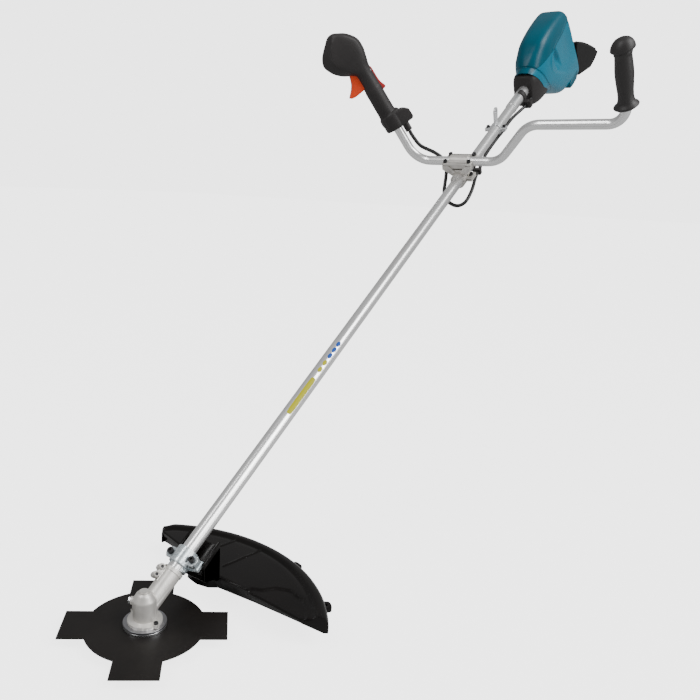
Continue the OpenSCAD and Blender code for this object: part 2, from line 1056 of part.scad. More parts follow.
// A point on a rounded box, by angle; squareness 2 is an ellipse
function around(section, turn, inset) =
  let (power = 2 / section[5],
       half_w = section[2] - inset,
       half_h = (section[4] - section[3]) / 2 - inset,
       y = half_w * sign(cos(turn)) * pow(abs(cos(turn)), power),
       z = (section[4] + section[3]) / 2 + half_h * sign(sin(turn)) * pow(abs(sin(turn)), power))
    [section[0] - section[1] * z, y, z];

module loft(sections, inset) {
  count = len(sections);
  polyhedron(
    points = [for (section = sections) for (k = [0 : section_points - 1])
      around(section, k * 360 / section_points, inset)],
    faces = concat(
      [[for (k = [0 : section_points - 1]) k]],
      [for (i = [0 : count - 2]) for (k = [0 : section_points - 1])
        let (a = i * section_points + k, b = i * section_points + (k + 1) % section_points)
          each [[a, a + section_points, b], [b, a + section_points, b + section_points]]],
      [[for (k = [section_points - 1 : -1 : 0]) (count - 1) * section_points + k]]));
}

// The same sections moved along the tube, to cut a shell's open ends clean
function moved(sections, by) =
  [for (section = sections) concat([section[0] + by], [for (i = [1 : 5]) section[i]])];

// The same sections a little longer at both ends, to leave a shell open there
function opened(sections) =
  let (last = len(sections) - 1)
    [for (i = [0 : last])
      concat([sections[i][0] + (i == 0 ? -0.5 : 0) + (i == last ? 0.5 : 0)], [for (k = [1 : 5]) sections[i][k]])];

module head_shell() {
  difference() {
    loft(body_sections, 0);
    loft(opened(body_sections), 3);
  }
}

// Where the top cover meets the side housings
module above_split() {
  multmatrix([[1, 0, 0, 0], [0, 1, 0, 0], [0.12, 0, 1, -0.12 * 1560 + 42], [0, 0, 0, 1]])
    slab([1400, -100, 0], [2000, 100, 200]);
}

module top_cover() {
  color("#0a6f86")
    shaft_frame()
      intersection() {
        head_shell();
        above_split();
      }
}

module housing_half(side) {
  difference() {
    intersection() {
      head_shell();
      slab([1400, side > 0 ? 0.05 : -100, -200], [2000, side > 0 ? 100 : -0.05, 200]);
    }
    translate([0, 0, -0.1])
      above_split();
  }
}

module housing_left() {
  color("#0b7f99")
    shaft_frame()
      housing_half(-1);
}

module housing_right() {
  color("#0b7f99")
    shaft_frame()
      housing_half(1);
}

module motor_housing() {
  color("#3a393b")
    shaft_frame()
      difference() {
        union() {
          difference() {
            loft(front_sections, 0);
            loft(moved(front_sections, 3), 3);
          }
          rod_x(17, 1551, 1566);
        }
        rod_x(tube_r + FIT, 1540, 1562.2);
        rod_x(drive_r + 2, 1540, 1580);
        translate([0, -18, -18])
          rod_x(cable_r + 0.6, 1540, 1570);
      }
}

module housing_screws() {
  color("#1c1c1c")
    shaft_frame()
      for (spot = [[1640, -36], [1700, -58], [1766, 30]])
        translate([spot[0], 41.9, spot[1]])
          rotate([-90, 0, 0])
            cap_screw(2, 0.1, 3.6, 1.4);
}

module stator() {
  color("#8c6a45")
    shaft_frame()
      difference() {
        ring_x(31, 17.6, 1611, 1646);
        for (slot = [0 : 8])
          rotate([slot * 40, 0, 0])
            slab([1610, -2.4, 19], [1647, 2.4, 27]);
      }
}

module rotor() {
  color("#7b7d80")
    shaft_frame() {
      rod_x(17, 1612, 1645);
      rod_x(4, 1576, 1612);
      rod_x(4, 1645, 1679);
      ring_x(8, drive_r + FIT, 1566, 1576);
    }
}

module motor_bearings() {
  color("#cfd0d1")
    shaft_frame()
      for (start = [1600, 1671])
        ring_x(11, 4 + FIT, start, start + 7);
}

module cooling_fan() {
  color("#2e2f31")
    shaft_frame()
      difference() {
        union() {
          rod_x(9, 1650, 1664);
          rod_x(27, 1650, 1652);
          for (vane = [0 : 10])
            rotate([vane * 360 / 11, 0, 0])
              slab([1651, -0.8, 7.5], [1662, 0.8, 26]);
        }
        rod_x(4.02, 1640, 1670);
      }
}

module controller() {
  color("#26352c")
    shaft_frame() {
      slab([1700, -26, -30], [1764, 26, -12]);
      for (place = [0 : 2])
        translate([1715 + place * 16, 12, -12])
          cylinder(r = 5, h = 22);
    }
}

// Plate across the rear of the head, with the rails that a battery slides onto
module battery_rails() {
  color("#232324")
    shaft_frame()
      difference() {
        union() {
          loft([[1808.1, 0.58, 37, -98, 90, 4], [1812, 0.58, 37, -98, 90, 4]], 0);
          for (side = [-1, 1])
            multmatrix([[1, 0, -0.58, 0], [0, 1, 0, 0], [0, 0, 1, 0], [0, 0, 0, 1]]) {
              slab([1811.8, side * 26 - 3, -60], [1820, side * 26 + 3, 70]);
              slab([1817, side * 24.5 - 5.5, -60], [1820, side * 24.5 + 5.5, 70]);
            }
        }
        multmatrix([[1, 0, -0.58, 0], [0, 1, 0, 0], [0, 0, 1, 0], [0, 0, 0, 1]])
          slab([1800, -16, -20], [1830, 16, 30]);
      }
}

module terminal_block() {
  color("#d9a531")
    shaft_frame()
      multmatrix([[1, 0, -0.58, 0], [0, 1, 0, 0], [0, 0, 1, 0], [0, 0, 0, 1]]) {
        slab([1795, -15.9, -19.9], [1813, 15.9, 29.9]);
        for (blade = [-1, 0, 1])
          slab([1812.9, blade * 9 - 0.6, -12], [1824, blade * 9 + 0.6, 22]);
      }
}

// Corners of the foot, seen from the side
foot_corners = [[1850, -20], [1846, -104], [1912, -53], [1995, -99], [2036, -127], [2014, -134], [1980, -138],
                [1889, -111]];

module foot_block(half_w, r) {
  hull() {
    for (corner = foot_corners)
      for (side = [-1, 1])
        translate([corner[0], side * half_w, corner[1]])
          sphere(r = r, $fn = 16);
  }
}

// The guard and foot behind the battery, a tray with its top open
module rear_guard() {
  color("#151416")
    shaft_frame()
      difference() {
        foot_block(31, 5);
        translate([-4, 0, 5])
          foot_block(27, 4);
        loft([[1600, 0.58, 60, -200, 200, 20], [1812.1, 0.58, 60, -200, 200, 20]], 0);
        multmatrix([[1, 0, -0.58, 0], [0, 1, 0, 0], [0, 0, 1, 0], [0, 0, 0, 1]])
          slab([1700, -40, -61], [1821.5, 40, 100]);
      }
}

cutter_blade();
blade_holder();
clamp_washer();
skid_cup();
spindle_nut();
spindle();
driven_gear();
lower_bearing();
upper_bearing();
oil_seal();
gear_case();
dust_guard();
case_cap();
grease_plug();
case_screws();
pinion_bearings();
pinion_gear();
drive_shaft();
shaft_bushings();
main_tube();
bracket_upper();
bracket_lower();
bracket_screws();
cutter_guard();
guard_screws();
handle_base();
handle_cap();
handle_screws();
handlebar();
left_grip();
throttle_shell_inner();
throttle_shell_outer();
throttle_screws();
throttle_trigger();
lock_lever();
lever_pins();
throttle_switch();
cable_gland();
control_cable();
cable_clip();
hanger_band();
hanger_eye();
hanger_screws();
tube_sleeve();
sleeve_clamp();
motor_housing();
housing_left();
housing_right();
top_cover();
housing_screws();
stator();
rotor();
motor_bearings();
cooling_fan();
controller();
terminal_block();
battery_rails();
rear_guard();
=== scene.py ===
import bpy, bmesh, json, math
from mathutils import Vector, Matrix


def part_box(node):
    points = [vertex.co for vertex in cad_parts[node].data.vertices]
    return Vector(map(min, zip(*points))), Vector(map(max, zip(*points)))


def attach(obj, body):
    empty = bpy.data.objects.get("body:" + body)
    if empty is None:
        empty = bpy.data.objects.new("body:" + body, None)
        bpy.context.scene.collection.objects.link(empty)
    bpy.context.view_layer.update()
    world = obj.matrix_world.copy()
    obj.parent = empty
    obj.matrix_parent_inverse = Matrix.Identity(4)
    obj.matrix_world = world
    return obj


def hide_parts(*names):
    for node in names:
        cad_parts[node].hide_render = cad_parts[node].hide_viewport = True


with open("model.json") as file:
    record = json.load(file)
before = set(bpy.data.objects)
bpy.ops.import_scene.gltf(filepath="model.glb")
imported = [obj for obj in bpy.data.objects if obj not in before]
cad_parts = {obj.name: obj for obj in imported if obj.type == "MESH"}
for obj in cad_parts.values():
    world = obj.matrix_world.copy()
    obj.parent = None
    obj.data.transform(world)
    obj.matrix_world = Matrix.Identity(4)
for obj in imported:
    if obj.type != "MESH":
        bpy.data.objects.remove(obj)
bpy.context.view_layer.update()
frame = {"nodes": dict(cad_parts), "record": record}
nodes = frame["nodes"]

# ---------------------------------------------------------------- frames, in millimetres
U = Vector((0.838671, 0.0, 0.544639))    # along the tube, towards the motor head
V = Vector((0.0, 1.0, 0.0))              # across, towards the throttle grip
W = Vector((-0.544639, 0.0, 0.838671))   # up from the tube
EYE_S, EYE_H = 1372.0, 41.0              # the hanger's eye, which is the shared frame's origin
CUTTER_X, CUTTER_Z = 1128.33, 807.33     # the cutter's centre, ahead of the eye and below it


def shaft(s, y, h):
    """The tube's frame: s along the tube from the cutter, y across, h up from the tube's middle."""
    return (U * (s - EYE_S) + V * y + W * (h - EYE_H)) / 1000.0


def cutter(x, y, z):
    """The cutter's frame: level, with its origin at the middle of the blade."""
    return Vector((x - CUTTER_X, y, z - CUTTER_Z)) / 1000.0


BAR_L, BAR_H = 1165.0, 36.6              # the handlebar's middle, along the tube and above it
BEND_Y, BEND_R, BEND_TURN = 69.0, 55.0, math.radians(66)
GRIP_START = (BEND_Y + BEND_R * math.sin(BEND_TURN), BEND_R * (1 - math.cos(BEND_TURN)))
GRIP_TURN = Matrix.Rotation(BEND_TURN - math.pi / 2, 3, "X") @ Matrix.Rotation(math.radians(135), 3, "Z")
LEFT_Y, LEFT_H = -332.776, 114.656       # the left grip's foot, from the handlebar's middle
LEFT_LEAN = math.radians(7)


def grip(x, y, z):
    """The throttle grip's frame: z along the bar, x towards the trigger."""
    p = GRIP_TURN @ Vector((x, y, z))
    return shaft(BAR_L + p.x, GRIP_START[0] + p.y, BAR_H + GRIP_START[1] + p.z)


def left_grip(x, y, z):
    """The left grip's frame: z along the bar's end."""
    p = Matrix.Rotation(-LEFT_LEAN, 3, "X") @ Vector((x, y, z))
    return shaft(BAR_L + p.x, LEFT_Y + p.y, BAR_H + LEFT_H + p.z)


# ---------------------------------------------------------------- materials
def mat(name):
    """A new material, its node tree and its Principled shader."""
    material = bpy.data.materials.new(name)
    material.use_nodes = True
    tree = material.node_tree
    for node in list(tree.nodes):
        if node.type not in ("BSDF_PRINCIPLED", "OUTPUT_MATERIAL"):
            tree.nodes.remove(node)
    return material, tree, tree.nodes["Principled BSDF"]


def noise(tree, places, scale, detail, rough=0.55, stretch=None):
    """A noise texture over the coordinates co, drawn out by stretch."""
    node = tree.nodes.new("ShaderNodeTexNoise")
    node.inputs["Scale"].default_value = scale
    node.inputs["Detail"].default_value = detail
    node.inputs["Roughness"].default_value = rough
    source = places
    if stretch:
        mapping = tree.nodes.new("ShaderNodeMapping")
        mapping.inputs["Scale"].default_value = stretch
        tree.links.new(places, mapping.inputs["Vector"])
        source = mapping.outputs["Vector"]
    tree.links.new(source, node.inputs["Vector"])
    return node.outputs["Fac"]


def ramp(tree, fac, stops):
    """A colour ramp with two stops: (position, colour)."""
    node = tree.nodes.new("ShaderNodeValToRGB")
    for stop, (pos, col) in zip(node.color_ramp.elements, stops):
        stop.position = pos
        stop.color = (*col, 1.0)
    tree.links.new(fac, node.inputs["Fac"])
    return node.outputs["Color"]


def span(tree, fac, lo, hi):
    """A factor of 0 to 1, spread from lo to hi."""
    node = tree.nodes.new("ShaderNodeMapRange")
    node.inputs["To Min"].default_value = lo
    node.inputs["To Max"].default_value = hi
    tree.links.new(fac, node.inputs["Value"])
    return node.outputs["Result"]


def bump(tree, shader, height, strength, distance, after=None):
    """Bumps in the shader's normal, on top of the bumps given in after."""
    node = tree.nodes.new("ShaderNodeBump")
    node.inputs["Strength"].default_value = strength
    node.inputs["Distance"].default_value = distance
    tree.links.new(height, node.inputs["Height"])
    if after:
        tree.links.new(after, node.inputs["Normal"])
    tree.links.new(node.outputs["Normal"], shader.inputs["Normal"])
    return node.outputs["Normal"]


def coords(tree):
    return tree.nodes.new("ShaderNodeTexCoord").outputs["Object"]


def along_tube(tree):
    """Object coordinates turned so that X runs along the long tube."""
    mapping = tree.nodes.new("ShaderNodeMapping")
    mapping.vector_type = "TEXTURE"
    mapping.inputs["Rotation"].default_value = (0.0, -math.asin(U.z), 0.0)
    tree.links.new(coords(tree), mapping.inputs["Vector"])
    return mapping.outputs["Vector"]


def plastic(name, dark, light, rough, grain, grain_mm=0.9, coat=0.0, spec=0.5):
    """Moulded plastic or paint: a faint mottle, uneven gloss, fine grain and slow waves."""
    material, tree, shader = mat(name)
    places = coords(tree)
    big = noise(tree, places, 14.0, 3.0)
    tree.links.new(ramp(tree, big, [(0.3, dark), (0.7, light)]), shader.inputs["Base Color"])
    mid = noise(tree, places, 160.0, 5.0)
    tree.links.new(span(tree, mid, rough - 0.06, rough + 0.08), shader.inputs["Roughness"])
    fine = noise(tree, places, 1000.0 / grain_mm, 2.0)
    grained = bump(tree, shader, fine, grain, 0.00012)
    wave = noise(tree, places, 55.0, 2.0)
    bump(tree, shader, wave, 0.05, 0.0012, grained)
    shader.inputs["Coat Weight"].default_value = coat
    shader.inputs["Coat Roughness"].default_value = 0.12
    shader.inputs["Specular IOR Level"].default_value = spec
    return material


def metal(name, dark, light, rough, grain, stretch=None, scale=60.0, metallic=1.0, fine=900.0, spread=0.1):
    """Bare metal: a mottle of scale, and fine marks in gloss and bump, drawn out by stretch."""
    material, tree, shader = mat(name)
    places = along_tube(tree) if name == "tube_alloy" else coords(tree)
    big = noise(tree, places, scale * 0.4, 4.0)
    tree.links.new(ramp(tree, big, [(0.3, dark), (0.7, light)]), shader.inputs["Base Color"])
    shader.inputs["Metallic"].default_value = metallic
    marks = noise(tree, places, fine, 3.0, 0.6, stretch)
    tree.links.new(span(tree, marks, rough - spread, rough + spread), shader.inputs["Roughness"])
    bump(tree, shader, marks, grain, 0.0001)
    return material


# slot: darker colour, lighter colour, roughness, grain, and what differs from the usual
METALS = {
    "machined_steel": ((0.55, 0.56, 0.57), (0.72, 0.72, 0.73), 0.26, 0.15, {}),
    "pressed_steel": ((0.34, 0.34, 0.36), (0.55, 0.55, 0.57), 0.33, 0.2, {}),
    "gear_steel": ((0.36, 0.36, 0.37), (0.5, 0.5, 0.51), 0.32, 0.2, {}),
    "bearing_steel": ((0.66, 0.67, 0.68), (0.78, 0.79, 0.8), 0.18, 0.05, {}),
    "galvanised": ((0.52, 0.60, 0.64), (0.80, 0.85, 0.87), 0.26, 0.3,
                   {"scale": 420.0, "fine": 500.0, "spread": 0.14, "metallic": 0.7}),
    "cast_alloy": ((0.60, 0.58, 0.55), (0.74, 0.72, 0.68), 0.42, 0.55,
                   {"scale": 120.0, "fine": 1100.0, "metallic": 0.55}),
    "tube_alloy": ((0.86, 0.86, 0.86), (0.93, 0.93, 0.93), 0.27, 0.1,
                   {"stretch": (0.02, 1.0, 1.0), "scale": 30.0, "fine": 1400.0, "spread": 0.05,
                    "metallic": 0.8}),
    "hanger_metal": ((0.72, 0.73, 0.74), (0.88, 0.89, 0.9), 0.25, 0.15, {"metallic": 0.6}),
    "black_screw": ((0.02, 0.02, 0.022), (0.05, 0.05, 0.052), 0.36, 0.2, {"metallic": 0.6}),
    "copper_winding": ((0.5, 0.22, 0.1), (0.66, 0.33, 0.16), 0.3, 0.4, {"stretch": (1.0, 1.0, 6.0)}),
}
PLASTICS = {
    "blade_black": ((0.007, 0.006, 0.0055), (0.012, 0.010, 0.009), 0.4, 0.25, {"grain_mm": 0.5, "spec": 0.3}),
    "guard_black": ((0.002, 0.0015, 0.0014), (0.0045, 0.0034, 0.003), 0.2, 0.06,
                    {"grain_mm": 0.8, "spec": 0.26}),
    "rear_black": ((0.0014, 0.0011, 0.0011), (0.0028, 0.0022, 0.0022), 0.38, 0.2,
                   {"grain_mm": 0.8, "spec": 0.12}),
    "charcoal": ((0.018, 0.016, 0.016), (0.028, 0.025, 0.025), 0.5, 0.5, {"grain_mm": 0.7, "spec": 0.35}),
    "grip_rubber": ((0.014, 0.012, 0.012), (0.021, 0.019, 0.019), 0.5, 0.5, {"grain_mm": 0.6}),
    "cable_black": ((0.009, 0.009, 0.009), (0.014, 0.014, 0.014), 0.42, 0.2, {"grain_mm": 0.8}),
    "trigger_orange": ((0.72, 0.045, 0.006), (0.80, 0.065, 0.01), 0.36, 0.15, {"coat": 0.05, "spec": 0.35}),
    "lever_red": ((0.42, 0.02, 0.02), (0.5, 0.03, 0.03), 0.4, 0.15, {"spec": 0.35}),
    "teal_side": ((0.0, 0.15, 0.235), (0.0, 0.175, 0.27), 0.26, 0.03, {"spec": 0.3}),
    # teal_hood is teal_side's plastic painted darker: painted shade for the hood's top, which faces away from
    # the key light
    "teal_hood": ((0.0, 0.075, 0.115), (0.0, 0.09, 0.135), 0.34, 0.08, {"spec": 0.25}),
    "bushing_plastic": ((0.7, 0.66, 0.56), (0.8, 0.76, 0.66), 0.5, 0.2, {}),
    "board_green": ((0.01, 0.09, 0.04), (0.02, 0.14, 0.06), 0.3, 0.2, {}),
    "terminal_yellow": ((0.6, 0.4, 0.05), (0.72, 0.5, 0.09), 0.4, 0.2, {}),
    "label_yellow": ((0.40, 0.38, 0.0), (0.45, 0.42, 0.002), 0.45, 0.05, {"spec": 0.2}),
    "label_blue": ((0.005, 0.06, 0.34), (0.01, 0.08, 0.38), 0.45, 0.05, {"spec": 0.2}),
}
MAT = {}
for kind, table in ((metal, METALS), (plastic, PLASTICS)):
    for name, (dark, light, rough, grain, extra) in table.items():
        MAT[name] = kind(name, dark, light, rough, grain, **extra)

slot_of = {p["node"]: p["material_slot"] for p in frame["record"]["subparts"]}
for name, part_object in nodes.items():
    part_object.data.materials.clear()
    part_object.data.materials.append(MAT["rear_black"] if name == "rear_guard" else MAT[slot_of[name]])


# ---------------------------------------------------------------- mesh helpers
def finish_mesh(piece, slot, body, angle, stuff=None):
    """Gives a piece smooth shading with sharp edges past angle, a material (stuff, else the slot's) and its
    body.
    """
    mesh = piece.data
    mesh.polygons.foreach_set("use_smooth", [True] * len(mesh.polygons))
    mesh.set_sharp_from_angle(angle=math.radians(angle))
    mesh.materials.clear()
    mesh.materials.append(stuff or MAT[slot])
    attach(piece, body)


def raw(name, verts, faces, merge=1e-6):
    """A new object, with near points merged and its faces turned outwards."""
    mesh = bpy.data.meshes.new(name)
    mesh.from_pydata([tuple(v) for v in verts], [], faces)
    bm = bmesh.new()
    bm.from_mesh(mesh)
    bmesh.ops.remove_doubles(bm, verts=bm.verts, dist=merge)
    bmesh.ops.recalc_face_normals(bm, faces=bm.faces)
    bm.to_mesh(mesh)
    bm.free()
    piece = bpy.data.objects.new(name, mesh)
    bpy.context.scene.collection.objects.link(piece)
    return piece


def bake(piece):
    """Applies the piece's modifiers."""
    graph = bpy.context.evaluated_depsgraph_get()
    mesh = bpy.data.meshes.new_from_object(piece.evaluated_get(graph))
    piece.modifiers.clear()
    piece.data = mesh
    return piece


def skin(rings):
    """Verts and faces of a closed loft through rings of equal length."""
    n = len(rings[0])
    verts = [p for r in rings for p in r]
    faces = []
    for i in range(len(rings) - 1):
        for k in range(n):
            a, b = i * n + k, i * n + (k + 1) % n
            faces.append((a, b, b + n, a + n))
    faces.append(tuple(range(n)))
    faces.append(tuple(range((len(rings) - 1) * n, len(rings) * n)))
    return verts, faces


def bevel(piece, width, segments, angle):
    """Rounds the edges that turn by more than angle; width is in mm."""
    rounding = piece.modifiers.new("bevel", "BEVEL")
    rounding.width = width / 1000.0
    rounding.segments = segments
    rounding.limit_method = "ANGLE"
    rounding.angle_limit = math.radians(angle)
    rounding.harden_normals = False


def softened(piece, width):
    """Rounds the edges of a piece that keeps the CAD's flat faces."""
    weld = piece.modifiers.new("weld", "WELD")
    weld.merge_threshold = 2e-6
    bevel(piece, width, 2, 34.0)
    normals = piece.modifiers.new("normals", "WEIGHTED_NORMAL")
    normals.keep_sharp = False


def reshaped(node, name, width, move):
    """A copy of a CAD node's mesh that replaces it; move(s, y, h) gives a point's new place, or None."""
    mesh = nodes[node].data.copy()
    mesh.transform(nodes[node].matrix_world)
    start = shaft(0, 0, 0)
    for v in mesh.vertices:
        rel = (v.co - start) * 1000
        moved = move(rel.dot(U), rel.dot(V), rel.dot(W))
        if moved:
            v.co = shaft(*moved)
    piece = bpy.data.objects.new(name, mesh)
    bpy.context.scene.collection.objects.link(piece)
    mesh.materials.clear()
    mesh.materials.append(MAT[slot_of[node]])
    softened(piece, width)
    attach(piece, "frame")
    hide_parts(node)


def prism(name, outline, lo, hi, place):
    """An outline (x, z) drawn from y = lo to hi, in the frame that place gives."""
    n = len(outline)
    verts = [place(x, lo, z) for x, z in outline] + [place(x, hi, z) for x, z in outline]
    faces = [tuple(range(n)), tuple(range(n, 2 * n))]
    faces += [(k, (k + 1) % n, n + (k + 1) % n, n + k) for k in range(n)]
    return raw(name, verts, faces)


def smooth_line(points, per, closed=False):
    """Catmull-Rom curve through points, with per steps from each to the next."""
    out = []
    n = len(points)
    last = n if closed else n - 1
    for i in range(last):
        near = [(i + j) % n if closed else min(max(i + j, 0), n - 1) for j in (-1, 0, 1, 2)]
        a, b, c, d = (Vector(points[j]) for j in near)
        for k in range(per):
            t = k / per
            out.append(0.5 * ((2 * b) + (c - a) * t + (2 * a - 5 * b + 4 * c - d) * t * t
                              + (3 * b - a - 3 * c + d) * t ** 3))
    if not closed:
        out.append(Vector(points[-1]))
    return out


def tube_mesh(points, radius, sides):
    """Rings of a tube along points (metres), with a turned frame that doesn't twist."""
    rings = []
    side = None
    for i, p in enumerate(points):
        ahead = (points[min(i + 1, len(points) - 1)] - points[max(i - 1, 0)]).normalized()
        if side is None:
            side = ahead.cross(Vector((0.31, 0.87, -0.38))).normalized()
        side = (side - ahead * side.dot(ahead)).normalized()
        other = ahead.cross(side)
        turns = (k * 2 * math.pi / sides for k in range(sides))
        rings.append([p + (side * math.cos(a) + other * math.sin(a)) * (radius / 1000.0) for a in turns])
    return rings


def spin(name, profile, place, sides):
    """A closed outline (radius, height) turned about the local z axis of place."""
    verts = []
    n = len(profile)
    for k in range(sides):
        a = k * 2 * math.pi / sides
        verts += [place(r * math.cos(a), r * math.sin(a), z) for r, z in profile]
    faces = []
    for k in range(sides):
        for i in range(n):
            a, b = k * n + i, k * n + (i + 1) % n
            c, d = ((k + 1) % sides) * n + (i + 1) % n, ((k + 1) % sides) * n + i
            faces.append((a, b, c, d))
    return raw(name, verts, faces)


def join(name, parts):
    """Joins objects into the first of them."""
    bpy.ops.object.select_all(action="DESELECT")
    for p in parts:
        p.select_set(True)
    bpy.context.view_layer.objects.active = parts[0]
    bpy.ops.object.join()
    parts[0].name = name
    return parts[0]


def remesh(piece, voxel, smooth):
    """Melts a joined piece into one skin, and smooths it."""
    voxels = piece.modifiers.new("voxels", "REMESH")
    voxels.mode = "VOXEL"
    voxels.voxel_size = voxel / 1000.0
    voxels.use_smooth_shade = True
    soft = piece.modifiers.new("soft", "SMOOTH")
    soft.iterations = smooth
    soft.factor = 0.6
    bake(piece)


def cut(piece, name, at, normal, keep_front):
    """A copy of o on one side of a plane, closed along the cut."""
    mesh = piece.data.copy()
    bm = bmesh.new()
    bm.from_mesh(mesh)
    geom = bm.verts[:] + bm.edges[:] + bm.faces[:]
    result = bmesh.ops.bisect_plane(bm, geom=geom, plane_co=at, plane_no=normal, clear_outer=not keep_front,
                                    clear_inner=keep_front, dist=1e-7)
    edges = [e for e in result["geom_cut"] if isinstance(e, bmesh.types.BMEdge)]
    bmesh.ops.holes_fill(bm, edges=edges, sides=0)
    bmesh.ops.recalc_face_normals(bm, faces=bm.faces)
    bm.to_mesh(mesh)
    bm.free()
    half = bpy.data.objects.new(name, mesh)
    bpy.context.scene.collection.objects.link(half)
    return half


def gone(piece):
    bpy.data.objects.remove(piece, do_unlink=True)


# ---------------------------------------------------------------- soft edges on the CAD parts that stay
# node: width of the rounding, in mm
SOFT_EDGES = {
    "cutter_blade": 0.25, "dust_guard": 0.4, "case_cap": 0.4, "blade_holder": 0.4, "bracket_upper": 0.8,
    "handle_base": 1.1, "handle_cap": 1.0, "hanger_eye": 0.7, "hanger_band": 0.6, "rear_guard": 2.0,
    "battery_rails": 0.5, "cable_clip": 0.9, "sleeve_clamp": 0.9, "cable_gland": 0.8, "tube_sleeve": 0.4,
    "handle_screws": 0.3, "bracket_screws": 0.3, "case_screws": 0.25, "hanger_screws": 0.25,
    "guard_screws": 0.3, "terminal_block": 0.4, "grease_plug": 0.3, "skid_cup": 0.6,
}
for name, width in SOFT_EDGES.items():
    softened(nodes[name], width)


# ---------------------------------------------------------------- motor head
def bulge(value, power):
    """A cosine or sine, squared off by power: 2 is round, 5 is nearly a box."""
    return math.copysign(abs(value) ** (2 / power), value)


def squircle(a, section):
    """The point (s, y, h) at angle a of a section."""
    s0, lean, half, lo, hi, power = section
    y = half * bulge(math.cos(a), power)
    h = (hi + lo) / 2 + ((hi - lo) / 2) * bulge(math.sin(a), power)
    return s0 - lean * h, y, h


def smooth_sections(sections, t):
    """Section at t, by a smooth curve through the list."""
    i = min(int(t), len(sections) - 2)
    f = t - i
    p = [sections[min(max(i + j, 0), len(sections) - 1)] for j in (-1, 0, 1, 2)]
    return [0.5 * ((2 * b) + (c - a) * f + (2 * a - 5 * b + 4 * c - d) * f * f
                   + (3 * b - a - 3 * c + d) * f ** 3) for a, b, c, d in zip(*p)]


def inside(poly, x, z):
    """Signed distance to a polygon: positive inside."""
    hit, best = False, 1e9
    for (x0, z0), (x1, z1) in zip(poly, poly[1:] + poly[:1]):
        if (z0 > z) != (z1 > z) and x < (x1 - x0) * (z - z0) / (z1 - z0) + x0:
            hit = not hit
        dx, dz = x1 - x0, z1 - z0
        t = max(0.0, min(1.0, ((x - x0) * dx + (z - z0) * dz) / (dx * dx + dz * dz)))
        best = min(best, math.hypot(x - x0 - t * dx, z - z0 - t * dz))
    return best if hit else -best


def ease(v, lo, hi):
    """0 below lo, 1 above hi, and a smooth step between them."""
    t = max(0.0, min(1.0, (v - lo) / (hi - lo)))
    return t * t * (3 - 2 * t)


# Sections from front to back: place along the tube, lean, half width, lowest, highest, squareness
HEAD = [(1586.0, 0.86, 34.5, -52.0, 46.0, 2.25), (1596.0, 0.85, 35.8, -57.0, 49.5, 2.3),
        (1606.0, 0.84, 36.8, -62.0, 52.5, 2.4), (1609.5, 0.83, 39.2, -66.5, 56.0, 2.45),
        (1625.0, 0.79, 40.6, -77.0, 66.0, 2.8), (1645.0, 0.74, 41.4, -88.0, 77.0, 3.2),
        (1675.0, 0.68, 42.0, -102.0, 91.0, 3.8), (1710.0, 0.62, 42.0, -109.0, 99.0, 4.1),
        (1750.0, 0.59, 41.8, -113.5, 102.8, 4.4), (1785.0, 0.58, 41.0, -118.0, 103.2, 4.8),
        (1806.0, 0.58, 39.8, -119.8, 102.4, 5.0), (1810.6, 0.58, 38.0, -118.4, 100.4, 5.0)]
# Side outlines (s, h) of the sunk panel and its pocket, and the screws that the skin stays level around
PANEL = [(1782, 88), (1745, 72), (1706, 61), (1672, 57), (1650, 51), (1637, 41), (1634, 28), (1641, 12),
         (1662, -6), (1700, -30), (1745, -52), (1800, -72), (1930, -110), (1930, 110)]
SCREW_SPOTS = [(1640, -36), (1700, -58), (1766, 30)]
POCKET = [(1664, 50), (1680, 44), (1704, 14), (1721, -12), (1694, -17), (1672, 10), (1661, 36)]


def head_point(a, t):
    """A point of the head's skin at angle a and section t, with the panel and the pocket in its sides."""
    s, y, h = squircle(a, smooth_sections(HEAD, t))
    s += 11.0 * (1 - ease(t, 3.0, 6.5)) * ease(-h, 4.0, 58.0)    # the lower front edge sits further back
    if y > 0:
        y *= 1 - 0.17 * (1 - ease(s + 0.8 * h, 1588.0, 1640.0))    # the far side is narrower at the front
    reach = abs(y)
    if reach > 20.0:
        wide = ease(reach, 24.0, 36.0)
        if y > 0:
            wide *= ease(min(math.hypot(s - at, h - up) for at, up in SCREW_SPOTS), 7.0, 10.0)
        wide *= 1 - 0.85 * ease(t, 8.4, 10.6)
        d = inside(PANEL, s, h)
        reach -= wide * 6.5 * ease(d, -1.0, 7.5) * (1 - 0.75 * ease(-h, 10.0, 60.0))
        reach += wide * 2.4 * (1 - ease(abs(d + 3.0), 0.0, 6.0)) * ease(h, -10.0, 30.0)
        reach -= wide * 8.0 * ease(inside(POCKET, s, h), -1.0, 7.5)
    return shaft(s, math.copysign(reach, y), h)


HEAD_FRONT = (1591.0, 0.86, 28.5, -48.5, 42.5, 2.25)
HEAD_REAR = (1811.0, 0.58, 36.0, -116.4, 98.4, 5.0)
GAP = 0.00015                            # half the width of a seam between shells, in metres
cols, rows = ((360, 16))
turns = [(k + 0.5) * 2 * math.pi / cols for k in range(cols)]
rings = [[shaft(*squircle(a, HEAD_FRONT)) for a in turns]]
for i in range((len(HEAD) - 1) * rows + 1):
    rings.append([head_point(a, i / rows) for a in turns])
rings.append([shaft(*squircle(a, HEAD_REAR)) for a in turns])
head = raw("head_form", *skin(rings))
split_at = shaft(1560, 0, 42)
split_normal = (W - U * 0.12).normalized()
hood = cut(head, "hood_shell", split_at + split_normal * 0.00035, split_normal, True)
low = cut(head, "low_form", split_at - split_normal * GAP, split_normal, False)
left = cut(low, "side_shell_left", V * -GAP, V, False)
right = cut(low, "side_shell_right", V * GAP, V, True)
gone(head)
gone(low)
# The hood gets the darker teal: painted shade on the same plastic as the side shells
finish_mesh(hood, "teal_hood", "frame", 50)
finish_mesh(left, "teal_side", "frame", 50)
finish_mesh(right, "teal_side", "frame", 50)
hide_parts("top_cover")
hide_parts("housing_left")
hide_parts("housing_right")

